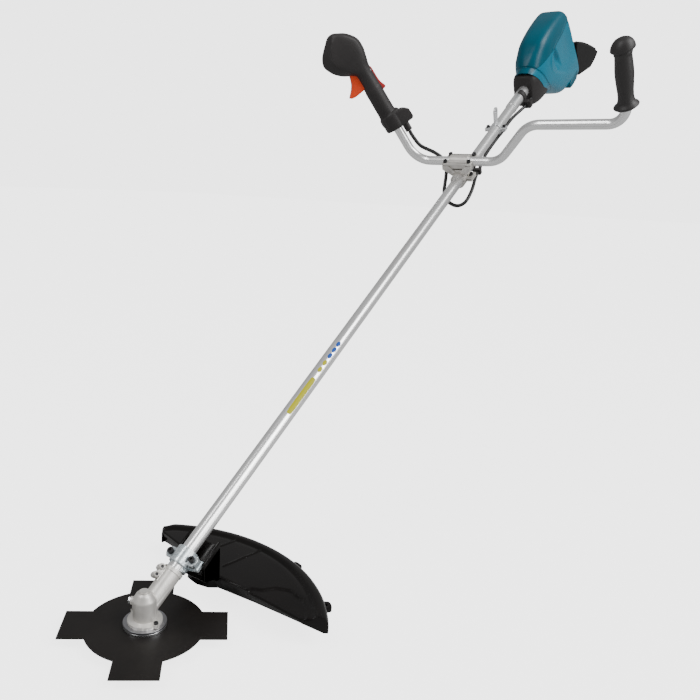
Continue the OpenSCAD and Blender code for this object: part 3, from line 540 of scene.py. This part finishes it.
# The dark shell ahead of the head, in sections of the same kind
FRONT = [(1549.0, 0.0, 20.5, -35.0, 32.0, 3.2), (1551.0, 0.0, 23.0, -38.0, 35.0, 3.4),
         (1558.0, 0.10, 27.5, -42.0, 37.5, 3.5), (1572.0, 0.30, 32.0, -49.0, 39.5, 3.3),
         (1588.0, 0.60, 33.8, -55.0, 42.0, 2.9), (1602.0, 0.86, 33.6, -60.0, 44.5, 2.5)]
FRONT_END = (1549.0, 0.0, 10.0, -20.0, 20.0, 3.0)
FRONT_ROWS = 6
rings = [[shaft(*squircle(a, FRONT_END)) for a in turns]]
for i in range((len(FRONT) - 1) * FRONT_ROWS + 1):
    rings.append([shaft(*squircle(a, smooth_sections(FRONT, i / FRONT_ROWS))) for a in turns])
front = raw("front_shell", *skin(rings))
finish_mesh(front, "charcoal", "frame", 50)
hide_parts("motor_housing")

# Small tabs at the lower rear, and plates that carry the foot's sides up to the shells
REAR_TAB = [(1786, -96), (1810, -92), (1842, -84), (1845, -90), (1844, -103), (1838, -109), (1806, -112),
            (1788, -110)]
FOOT_PLATE = [(1828, -8), (1840, -12), (1880, -28.5), (1918, -46.5), (1958, -68), (1998, -91.5), (2033, -113),
              (2039, -119), (2030, -130), (1960, -100), (1900, -75), (1853, -60), (1846.5, -60)]


def both_sides(name, outline, near, far, width, segments, angle):
    """The same plate on the left and the right, joined as one piece."""
    pair = []
    for lo, hi in ((-far, -near), (near, far)):
        plate = prism(name, outline, lo, hi, shaft)
        bevel(plate, width, segments, angle)
        pair.append(bake(plate))
    return join(name, pair)


# The rear tabs take the hood's darker teal as well: painted shade
finish_mesh(both_sides("rear_tabs", REAR_TAB, 24.0, 39.5, 2.2, 3, 30), "teal_hood", "frame", 50)
finish_mesh(both_sides("foot_lip", FOOT_PLATE, 27.6, 31.0, 1.2, 2, 40), slot_of["rear_guard"], "frame", 50,
            MAT["rear_black"])


# ---------------------------------------------------------------- throttle grip
GRIP_SIDES = 48


def grip_section(z, x0, x1, half, far, near, flat):
    """A ring in the grip's frame, round at flat 0. far and near: depth of the slopes at x1 and x0."""
    ring = []
    middle, reach = (x0 + x1) / 2, (x1 - x0) / 2
    power = 2.0 + 4.0 * flat
    for k in range(GRIP_SIDES):
        a = k * 2 * math.pi / GRIP_SIDES
        px, py = middle + reach * bulge(math.cos(a), power), half * bulge(math.sin(a), power)
        over = px - (x1 - far)
        if over > 0 and far > 0:
            py *= 1 - 0.62 * (over / far)
        over = (x0 + near) - px
        if over > 0 and near > 0:
            py *= 1 - 0.45 * (over / near)
        ring.append(grip(px, py, z))
    return ring


# Sections of the grip: z, x0, x1, half width, far, near, flat
HANDLE = [(79, -15.2, 22.2, 18.7, 0, 0, 0), (84, -16.6, 23.0, 19.6, 0, 0, 0),
          (90, -15.2, 22.2, 18.7, 0, 0, 0), (120, -14.8, 21.8, 18.3, 0, 0, 0),
          (147, -14.8, 21.8, 18.3, 0, 0, 0)]
NECK = [(146, -14.0, 21.0, 17.5, 0, 0, 0), (150, -14.0, 21.0, 17.5, 0, 0, 0),
        (176, -13.8, 20.6, 17.5, 0, 0, 0.0), (188, -14.0, 22.0, 18.3, 2, 1, 0.04),
        (196, -15.0, 31.5, 20.0, 8, 2, 0.12), (204, -17.0, 43.0, 21.8, 13, 3, 0.25),
        (213, -19.0, 52.5, 23.2, 16, 5, 0.36), (225, -21.5, 61.0, 23.9, 17, 6, 0.42),
        (240, -21.4, 67.0, 24.0, 17, 7, 0.45), (250, -18.6, 66.0, 24.0, 18, 7, 0.45),
        (261, -11.5, 59.6, 23.6, 18, 7, 0.4), (271, -2.4, 48.8, 22.6, 17, 7, 0.35),
        (278, 7.5, 40.0, 20.2, 14, 7, 0.3), (283, 15.5, 33.5, 15.5, 9, 6, 0.2),
        (285, 20.5, 29.0, 8.0, 4, 3, 0.1)]


def loft_list(name, sections, per):
    """A closed loft through grip sections, with per rings from each to the next."""
    rings = []
    for i in range((len(sections) - 1) * per + 1):
        rings.append(grip_section(*smooth_sections([list(map(float, q)) for q in sections], i / per)))
    return raw(name, *skin(rings))


# The collar around the bar: a block and its chin as outlines (x, z), and a ring as (radius, z)
COLLAR_BLOCK = [(3, 48.6), (-35.5, 48.6), (-38.6, 53), (-37.5, 71), (-30, 76.5), (-20, 79.5), (3, 84)]
COLLAR_CHIN = [(2, 50.5), (14, 53.5), (22, 59.5), (24, 66), (24, 80), (16, 86), (0, 84)]
COLLAR_RING = [(21.5, 50.0), (23.0, 51.6), (23.4, 56), (23.4, 78), (22.2, 82.5), (19.4, 86)]
block = prism("collar_block", COLLAR_BLOCK, -16.0, 21.5, grip)
bevel(block, 1.6, 2, 20)
bake(block)
ring_turns = [k * 2 * math.pi / GRIP_SIDES for k in range(GRIP_SIDES)]
collar = raw("collar_ring", *skin([[grip(0.8 + r * math.cos(a), r * math.sin(a), z) for a in ring_turns]
                                   for r, z in COLLAR_RING]))
chin = prism("collar_chin", COLLAR_CHIN, -17, 17, grip)
bevel(chin, 4.0, 3, 20)
bake(chin)
form = join("grip_form", [loft_list("neck", NECK, 8), loft_list("handle", HANDLE, 6), block, collar, chin])
remesh(form, 0.9, 2)
y_dir = (grip(0, 1, 0) - grip(0, 0, 0)).normalized()
zero = grip(0, 0, 0)
outer = cut(form, "grip_shell_outer", zero + y_dir * 0.00012, y_dir, True)
inner = cut(form, "grip_shell_inner", zero - y_dir * 0.00012, y_dir, False)
gone(form)
finish_mesh(outer, "charcoal", "frame", 60)
finish_mesh(inner, "charcoal", "frame", 60)
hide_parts("throttle_shell_outer")
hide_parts("throttle_shell_inner")

# Outlines (x, z) of the two levers
TRIGGER = [(12, 190), (16, 204), (24, 209), (29.5, 208), (31.2, 203.5), (31.6, 197), (34, 189),
           (37.5, 180.2), (44.5, 170.8), (53.6, 162.2), (54.6, 160.4), (51, 157.6), (42, 155.8),
           (30, 156), (20, 157.5), (14, 168)]
LEVER = [(-5, 188), (-10, 190), (-14.5, 187), (-15.6, 178), (-15.8, 160), (-17.6, 149), (-21.5, 138.5),
         (-20.8, 135.4), (-17.5, 134), (-13, 134.6), (-10, 142), (-8, 160)]


def rounded(outline, per):
    """A smooth closed curve through flat points."""
    return [(p.x, p.y) for p in smooth_line([(x, y, 0) for x, y in outline], per, True)]


trigger = prism("trigger_lever", rounded(TRIGGER, 5), -6.8, 6.8, grip)
bevel(trigger, 2.2, 4, 40)
bake(trigger)
finish_mesh(trigger, "trigger_orange", "trigger", 50)
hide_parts("throttle_trigger")

lever = prism("lock_off_lever", rounded(LEVER, 5), -5.6, 5.6, grip)
bevel(lever, 1.8, 3, 40)
bake(lever)
finish_mesh(lever, "lever_red", "lock", 50)
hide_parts("lock_lever")

# ---------------------------------------------------------------- control cable
CABLE_R = 3.95
# The cable's middle (s, y, h), from the throttle grip to the motor housing
route = [(1178.4, 117.5, 98.4), (1178.4, 112.7, 87.5), (1179.2, 97, 64), (1180.5, 66, 47), (1180.5, 49, 33),
         (1172, 38, 15), (1153, 31, 6), (1134, 26, -1), (1120, 23, -12), (1110, 14, -23), (1103, 2, -29),
         (1099, -14, -31), (1103, -27, -28), (1115, -33, -23), (1146, -31, -19), (1180, -24, -15.5),
         (1205, -19.5, -14.5), (1217, -19.5, -14.5), (1250, -12, -14.5), (1300, -7.8, -14.4),
         (1362, -7.8, -14.6), (1378, -8.2, -15.6), (1430, -8.4, -14.8), (1458, -9, -16.4),
         (1480, -12, -17.2), (1510, -18, -17.2), (1528, -18, -17.2), (1546, -18, -18), (1556, -18, -18)]
line = smooth_line([shaft(*p) for p in route], 24)
cable = raw("cable_sheath", *skin(tube_mesh(line, CABLE_R, 20)))
finish_mesh(cable, "cable_black", "frame", 60)
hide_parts("control_cable")


# ---------------------------------------------------------------- plain patches on the tube
def patch(name, s0, s1, turn0, turn1, power, stuff):
    """A sticker without lettering that wraps part of the tube, between two places and two angles."""
    radius, steps, count = 12.17, 40, 8
    mid_s, mid_a = (s0 + s1) / 2, (turn0 + turn1) / 2
    half_s, half_a = (s1 - s0) / 2, (turn1 - turn0) / 2
    edge = [(half_s * bulge(math.cos(a), power), half_a * bulge(math.sin(a), power))
            for a in (k * 2 * math.pi / steps for k in range(steps))]
    verts, faces = [], []
    for j in range(count + 1):
        f = 1.0 - j / count
        for along, turn in edge:
            a = math.radians(mid_a + turn * f)
            verts.append(shaft(mid_s + along * f, radius * math.cos(a), radius * math.sin(a)))
    for j in range(count):
        for k in range(steps):
            a, b = j * steps + k, j * steps + (k + 1) % steps
            faces.append((a, b, b + steps, a + steps))
    piece = raw(name, verts, faces, 1e-7)
    thick = piece.modifiers.new("thick", "SOLIDIFY")
    thick.thickness = 0.00012
    thick.offset = -1.0
    bake(piece)
    finish_mesh(piece, "tube_alloy", "frame", 50, MAT[stuff])


BAR_SHAPE, DOT_SHAPE, DOT_R = 6.0, 2.0, 6.5
patch("plain_label", 405, 495, 104, 150, BAR_SHAPE, "label_yellow")
dots = [(517, "label_yellow"), (535, "label_yellow"), (554, "label_blue"), (570, "label_blue"),
        (586, "label_blue")]
for k, (place, stuff) in enumerate(dots):
    patch("plain_dot_%d" % (k + 1), place - DOT_R, place + DOT_R, 108, 142, DOT_SHAPE, stuff)

# ---------------------------------------------------------------- left grip
# Outline (radius, z), from the flange to the knob at the end
RUBBER = [(9.56, -2.4), (14.0, -3.0), (18.0, -2.4), (21.3, 0.2), (21.9, 1.6), (21.0, 3.4), (18.0, 5.4),
          (15.6, 8.6), (14.2, 13.0), (13.5, 19.0), (13.7, 28.0), (14.9, 42.0), (15.9, 56.0), (15.9, 66.0),
          (15.0, 80.0), (14.5, 89.0), (14.6, 92.6), (15.5, 93.4), (15.6, 97.2), (15.0, 98.2), (16.0, 98.6),
          (19.6, 100.2), (20.6, 101.6), (20.5, 103.6), (19.4, 108.2), (16.8, 113.0), (12.6, 117.4),
          (7.0, 120.0), (0.6, 120.9), (0.6, 96.3), (9.56, 96.3)]
hand_grip = spin("left_grip_rubber", RUBBER, left_grip, 72)
bevel(hand_grip, 0.5, 2, 50)
bake(hand_grip)
finish_mesh(hand_grip, "grip_rubber", "frame", 60)
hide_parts("left_grip")

# ---------------------------------------------------------------- cutter guard
# Plan lines (x, y) from the spindle: the inner skirt's foot, and the deck's edge above it
FOOT_LINE = [(208, 170), (194, 157), (189, 130), (172, 76), (146, 44), (128, 32), (123, 8), (128, -12),
             (139, -24), (144, -95), (146, -161), (147, -222), (147, -300)]
EDGE_LINE = [(206, 168), (187, 150), (181, 130), (163, 70), (138, 36), (128, 20), (125, -6), (127, -20),
             (132, -34), (130, -122), (127, -173), (124, -236), (122, -300)]
RIBS = [((184, 39), (247, 29)), ((161, -15), (245, -26))]
DENT = [(110, -90), (139, -91), (148, -106), (167, -118), (176, -138), (170, -160), (156, -190), (128, -222),
        (110, -222)]
OUTER = 269.9                            # radius of the rim
DECK_R = 236.0                           # radius where the deck ends and the rim begins
HEM = 9.4                                # height of the lower edge
RIM = [(236.0, 29.4), (240.0, 29.2), (243.5, 28.8), (245.5, 28.4), (247.0, 28.5), (249.0, 29.4),
       (252.0, 31.0), (254.0, 31.7), (256.0, 31.9), (258.0, 31.8), (262.0, 31.2), (265.0, 30.2),
       (267.2, 28.6), (268.6, 26.2), (269.4, 23.0), (269.8, 19.0), (269.9, 14.0), (269.9, 9.2)]


def crossing(lines, turn):
    """Distance from the axis to a line of points along a ray."""
    c, s = math.cos(turn), math.sin(turn)
    best = None
    for (x0, y0), (x1, y1) in zip(lines, lines[1:]):
        a0, a1 = x0 * s - y0 * c, x1 * s - y1 * c
        if a0 * a1 <= 0 and a0 != a1:
            f = a0 / (a0 - a1)
            best = (x0 + f * (x1 - x0)) * c + (y0 + f * (y1 - y0)) * s
    return best


def rim_height(r):
    """Height of the deck and the rim at a radius, before ribs and dent."""
    if r <= DECK_R:
        return 33.2 - 3.8 * (r - 120) / 116
    for (r0, z0), (r1, z1) in zip(RIM, RIM[1:]):
        if r <= r1 and r1 > r0:
            return z0 + (z1 - z0) * (r - r0) / (r1 - r0)
    return RIM[-1][1]


def off(p, a, b):
    """Distance of a point from a line between two others."""
    dx, dy = b[0] - a[0], b[1] - a[1]
    t = max(0.0, min(1.0, ((p[0] - a[0]) * dx + (p[1] - a[1]) * dy) / (dx * dx + dy * dy)))
    return math.hypot(p[0] - a[0] - t * dx, p[1] - a[1] - t * dy)


def deck(r, turn):
    """Height of the top with its two ribs and the dent."""
    x, y = r * math.cos(turn), r * math.sin(turn)
    z = rim_height(r)
    for a, b in RIBS:
        z += 1.7 * math.exp(-(off((x, y), a, b) / 1.7) ** 2)
    if r < 240:
        z -= 2.6 * ease(inside(DENT, x, y), -3.0, 3.0)
    return z


def inner_edges(turn):
    """Radius of the skirt's foot and of the deck's edge, along a ray."""
    return min(crossing(FOOT_LINE, turn), OUTER - 0.7), min(crossing(EDGE_LINE, turn), OUTER - 1.4)


def guard_column(turn, steps):
    """A cut (radius, height) through the guard, from the skirt's foot over the deck to the rim's hem."""
    low_r, top_r = inner_edges(turn)
    top_z = deck(top_r, turn)
    climb = (0.0, 0.25, 0.5, 0.75, 0.9)
    column = [(low_r + (top_r - low_r) * f, HEM + (top_z - 1.2 - HEM) * f) for f in climb]
    near = min(1.5, (DECK_R - top_r) * 0.2) if top_r < DECK_R - 2 else 0.1
    column.append((top_r + near * 0.2, top_z - 0.35))
    column.append((top_r + near, deck(top_r + near, turn)))
    reach = max(DECK_R, top_r + near + 0.1)
    for j in range(1, steps + 1):
        r = top_r + near + (reach - top_r - near) * j / steps
        column.append((r, deck(r, turn)))
    for j, (r, z) in enumerate(RIM[1:]):
        r = max(r, reach + 0.02 * (j + 1))
        column.append((r, max(HEM, deck(min(r, OUTER), turn) if j < len(RIM) - 3 else z)))
    return column


def skirt(r, z, turn):
    """Height of the inner skirt's slope at a radius, between the hem and z."""
    low_r, top_r = inner_edges(turn)
    top_z = deck(top_r, turn)
    return max(HEM, min(z, top_z + (HEM - top_z) * (r - top_r) / (low_r - top_r)))


def drawn_in(r, depth):
    """A radius near the rim, drawn in by depth to round off the guard's end."""
    return r - depth * ease(r, 235, 270)


def turned(x, y, z, angle):
    """A point of the cutter's frame, turned about its axis."""
    c, s = math.cos(angle), math.sin(angle)
    return cutter(x * c - y * s, x * s + y * c, z)


def around(r, angle, z):
    """A point of the cutter's frame, by its radius and angle."""
    return cutter(r * math.cos(angle), r * math.sin(angle), z)


FIRST, LAST = math.radians(-56.6), math.radians(38.6)
END_DEPTH = 10.0
columns, inner_steps = ((260, 52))
sheet = []
for k in range(columns + 1):
    turn = FIRST + (LAST - FIRST) * k / columns
    column = guard_column(turn, inner_steps)
    depth = (1 - ease(math.degrees(LAST - turn), 0.0, 4.5)) * END_DEPTH
    if k == 0:
        walls = [skirt(r, z, turn) for r, z in column]
        for lift in (0.0, 0.6):
            sheet.append([around(r, turn - 0.004, wall + (z - wall) * lift)
                          for (r, z), wall in zip(column, walls)])
    sheet.append([around(drawn_in(r, depth), turn, z) for r, z in column])
sheet.append([around(drawn_in(r, END_DEPTH), LAST + 0.004, max(HEM, z - 3.0)) for r, z in column])
sheet.append([around(drawn_in(r, END_DEPTH), LAST + 0.006, min(z, HEM)) for r, z in column])
n = len(sheet[0])
verts = [p for row in sheet for p in row]
faces = [(k * n + j, k * n + j + 1, (k + 1) * n + j + 1, (k + 1) * n + j)
         for k in range(len(sheet) - 1) for j in range(n - 1)]
guard_sheet = raw("guard_sheet", verts, faces, 1e-7)
up_face = max(guard_sheet.data.polygons, key=lambda f: abs(f.normal.z) * f.area)
thick = guard_sheet.modifiers.new("thick", "SOLIDIFY")
thick.thickness = 0.0024
thick.offset = -1.0 if up_face.normal.z > 0 else 1.0
bake(guard_sheet)


def tube_to_cutter(x, h):
    """Height over the cutter, at x, of the line that runs along the tube at h."""
    a, b = shaft(0, 0, h), shaft(200, 0, h)
    xa, xb = a.x * 1000 + CUTTER_X, b.x * 1000 + CUTTER_X
    za, zb = a.z * 1000 + CUTTER_Z, b.z * 1000 + CUTTER_Z
    return za + (zb - za) * (x - xa) / (xb - xa)


def side(top_h):
    """Side outline (x, z) of the block and its cheeks, up to the line along the tube at top_h."""
    x0, x1 = 94.0, 131.0
    return [(x0, 43.0), (x0 + 3.0, 40.0), (118.0, 35.0), (123.0, 29.5), (x1, 29.5),
            (x1, tube_to_cutter(x1, top_h)), (x0, tube_to_cutter(x0, top_h))]


block = prism("guard_block", side(-18.2), -32.6, 32.6, cutter)
cheek_a = prism("guard_cheek_a", side(-11.8), -32.6, -27.8, cutter)
cheek_b = prism("guard_cheek_b", side(-11.8), 27.8, 32.6, cutter)
for b in (block, cheek_a, cheek_b):
    bevel(b, 1.0, 2, 30)
    bake(b)
solids = [guard_sheet, block, cheek_a, cheek_b]
# The two drilled tabs on the rim: their outline (x, y) before they are turned into place
TAB = [(264, -11), (272, -11), (281, -9.5), (283.5, -6), (284, 0), (283.5, 6), (281, 9.5), (272, 11),
       (264, 11)]
TAB_HOLE = 275.5
for k, degrees in enumerate((-19.2, -44.2)):
    turn = math.radians(degrees)
    outline = rounded(TAB, 3)
    verts = []
    for z in (10.0, 21.0 - 4 * k):
        verts += [turned(x, y, z, turn) for x, y in outline]
    m = len(outline)
    tab = raw("guard_tab_%d" % k, verts, [tuple(range(m)), tuple(range(m, 2 * m))]
              + [(j, (j + 1) % m, m + (j + 1) % m, m + j) for j in range(m)])
    drill = spin("drill", [(0.05, 0), (2.6, 0), (2.6, 20), (0.05, 20)],
                 lambda x, y, z, turn=turn: turned(TAB_HOLE + x, y, 4.0 + z, turn), 24)
    hole = tab.modifiers.new("hole", "BOOLEAN")
    hole.object = drill
    hole.solver = "EXACT"
    bevel(tab, 0.8, 2, 40)
    bake(tab)
    gone(drill)
    solids.append(tab)
guard = join("guard_shell", solids)
finish_mesh(guard, "guard_black", "frame", 40)
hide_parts("cutter_guard")

# ---------------------------------------------------------------- gear case with round clamp bosses
EAR_COS, EAR_SIN = 0.743, 0.669          # the direction in which the clamp's ears stand out from the tube
EAR_ROOT = 14.0


def tuck_ears(s, y, h):
    """Takes the flat ears of the clamp back into the case, where the round bosses replace them."""
    out_r, across = y * EAR_SIN + h * EAR_COS, y * EAR_COS - h * EAR_SIN
    if 41 < s < 76 and out_r > EAR_ROOT and abs(across) < 8.4 and math.hypot(y, h) > 16.9:
        return s, EAR_ROOT * EAR_SIN + across * EAR_COS, EAR_ROOT * EAR_COS - across * EAR_SIN
    return None


reshaped("gear_case", "gear_case_body", 0.9, tuck_ears)


def ear(s, out_r, across):
    """The ears' frame: s along the tube, out_r away from it, across from one ear to the other."""
    return shaft(s, out_r * EAR_SIN + across * EAR_COS, out_r * EAR_COS - across * EAR_SIN)


BOSS_R = 19.3
# The plate (s, out) between a pair of bosses
WEB = [(46.5, 10.5), (69.5, 10.5), (68.5, 18.8), (65, 20.5), (51, 20.5), (47.5, 18.8)]
bosses = []
for half, (a0, a1) in enumerate(((-7.6, -0.8), (0.8, 7.6))):
    for place in (51.0, 65.0):
        ends = [(2.7, a0), (4.6, a0), (5.3, a0 + 0.8), (5.3, a1 - 0.5), (5.0, a1), (2.7, a1)]
        if half == 0:
            screw_head = [(2.4, a0 - 1.6), (3.4, a0 - 2.4), (4.4, a0 - 2.0), (4.7, a0 - 1.2), (4.7, a0),
                          (5.3, a0 + 0.3)]
            ends = screw_head + ends[3:]
        bosses.append(spin("boss_%d_%d" % (half, place), ends,
                           lambda x, y, z, place=place: ear(place + x, BOSS_R + y, z), 28))
    web = prism("web_%d" % half, WEB, a0 + 0.9, a1 - 0.05, lambda x, y, z: ear(x, z, y))
    bevel(web, 0.6, 2, 30)
    bake(web)
    bosses.append(web)
bosses = join("case_bosses", bosses)
finish_mesh(bosses, "cast_alloy", "frame", 40)


# ---------------------------------------------------------------- lower half of the guard bracket
def shorten_flanges(s, y, h):
    """Draws the flanges in, at their front and at their sides."""
    if abs(y) > 18 and s < 94:
        s = 94 - (94 - s) * 0.3
    if abs(y) > 25.2:
        y = math.copysign(25.2 + (abs(y) - 25.2) * 0.35, y)
    return s, y, h


reshaped("bracket_lower", "bracket_lower_half", 0.8, shorten_flanges)

# ---------------------------------------------------------------- stage, lights, camera
floor_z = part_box("skid_cup")[0].z
bpy.ops.mesh.primitive_plane_add(size=60.0, location=(0.0, 0.0, floor_z))
floor = bpy.context.object
floor.name = "floor"
floor_material, floor_tree, floor_shader = mat("floor_pale")
floor_noise = noise(floor_tree, coords(floor_tree), 3.0, 3.0)
greys = ramp(floor_tree, floor_noise, [(0.3, (0.44, 0.44, 0.44)), (0.7, (0.46, 0.46, 0.46))])
floor_tree.links.new(greys, floor_shader.inputs["Base Color"])
floor_shader.inputs["Roughness"].default_value = 0.75
floor_shader.inputs["Specular IOR Level"].default_value = 0.15
glow = floor_tree.nodes.new("ShaderNodeEmission")
glow.inputs["Strength"].default_value = 3.05    # only the camera sees it, so it lights nothing
no_glow = floor_tree.nodes.new("ShaderNodeEmission")
no_glow.inputs["Strength"].default_value = 0.0
seen = floor_tree.nodes.new("ShaderNodeLightPath")
glow_mix = floor_tree.nodes.new("ShaderNodeMixShader")
glow_add = floor_tree.nodes.new("ShaderNodeAddShader")
floor_tree.links.new(seen.outputs["Is Camera Ray"], glow_mix.inputs["Fac"])
floor_tree.links.new(no_glow.outputs[0], glow_mix.inputs[1])
floor_tree.links.new(glow.outputs[0], glow_mix.inputs[2])
floor_tree.links.new(floor_shader.outputs[0], glow_add.inputs[0])
floor_tree.links.new(glow_mix.outputs[0], glow_add.inputs[1])
floor_tree.links.new(glow_add.outputs[0], floor_tree.nodes["Material Output"].inputs["Surface"])
floor.data.materials.append(floor_material)

world = bpy.data.worlds.new("studio")
bpy.context.scene.world = world
world.use_nodes = True
world_tree = world.node_tree
world_tree.nodes["Background"].inputs["Color"].default_value = (1.0, 1.0, 1.0, 1.0)
world_tree.nodes["Background"].inputs["Strength"].default_value = 0.32
pale = world_tree.nodes.new("ShaderNodeBackground")
pale.inputs["Color"].default_value = (1.0, 1.0, 1.0, 1.0)
pale.inputs["Strength"].default_value = 3.3
ray = world_tree.nodes.new("ShaderNodeLightPath")
mix = world_tree.nodes.new("ShaderNodeMixShader")
world_tree.links.new(ray.outputs["Is Camera Ray"], mix.inputs["Fac"])
world_tree.links.new(world_tree.nodes["Background"].outputs[0], mix.inputs[1])
world_tree.links.new(pale.outputs[0], mix.inputs[2])
world_tree.links.new(mix.outputs[0], world_tree.nodes["World Output"].inputs["Surface"])


def lamp(name, kind, place, aim, power, size, size_y=None):
    """A light that points at aim; size is a sun's angle, or an area's width beside its height size_y."""
    light = bpy.data.lights.new(name, kind)
    light.energy = power
    if kind == "AREA":
        light.shape = "RECTANGLE"
        light.size, light.size_y = size, size_y
    else:
        light.angle = size
    holder = bpy.data.objects.new(name, light)
    bpy.context.scene.collection.objects.link(holder)
    holder.location = place
    holder.rotation_euler = (Vector(aim) - Vector(place)).to_track_quat("-Z", "Y").to_euler()


mid = (-0.4, 0.0, -0.3)
lamp("sun", "SUN", (0.0, -2.5, 2.7), mid, 2.3, math.radians(34))
lamp("key", "AREA", (-0.2, -3.0, 0.9), mid, 46.0, 1.1, 2.2)
lamp("left_strip", "AREA", (-2.4, 0.6, 1.6), mid, 34.0, 0.45, 2.4)

camera_data = bpy.data.cameras.new("camera")
camera = bpy.data.objects.new("camera", camera_data)
bpy.context.scene.collection.objects.link(camera)
# The direction the camera looks in, its right, its down, and where it stands
AHEAD = Vector((0.76571, 0.54185, -0.34654)).normalized()
RIGHT = Vector((0.59083, -0.80548, 0.04604)).normalized()
DOWN = Vector((-0.25418, -0.23999, -0.93690)).normalized()
PLACE = Vector((-1.7304, -0.6540, -0.1846))
camera.matrix_world = Matrix(((RIGHT.x, -DOWN.x, -AHEAD.x, PLACE.x),
                              (RIGHT.y, -DOWN.y, -AHEAD.y, PLACE.y),
                              (RIGHT.z, -DOWN.z, -AHEAD.z, PLACE.z),
                              (0, 0, 0, 1)))
camera_data.sensor_width = 36.0
camera_data.lens = 35.62
camera_data.shift_x, camera_data.shift_y = 0.1011, 0.1306
camera_data.clip_start, camera_data.clip_end = 0.05, 100.0
bpy.context.scene.camera = camera
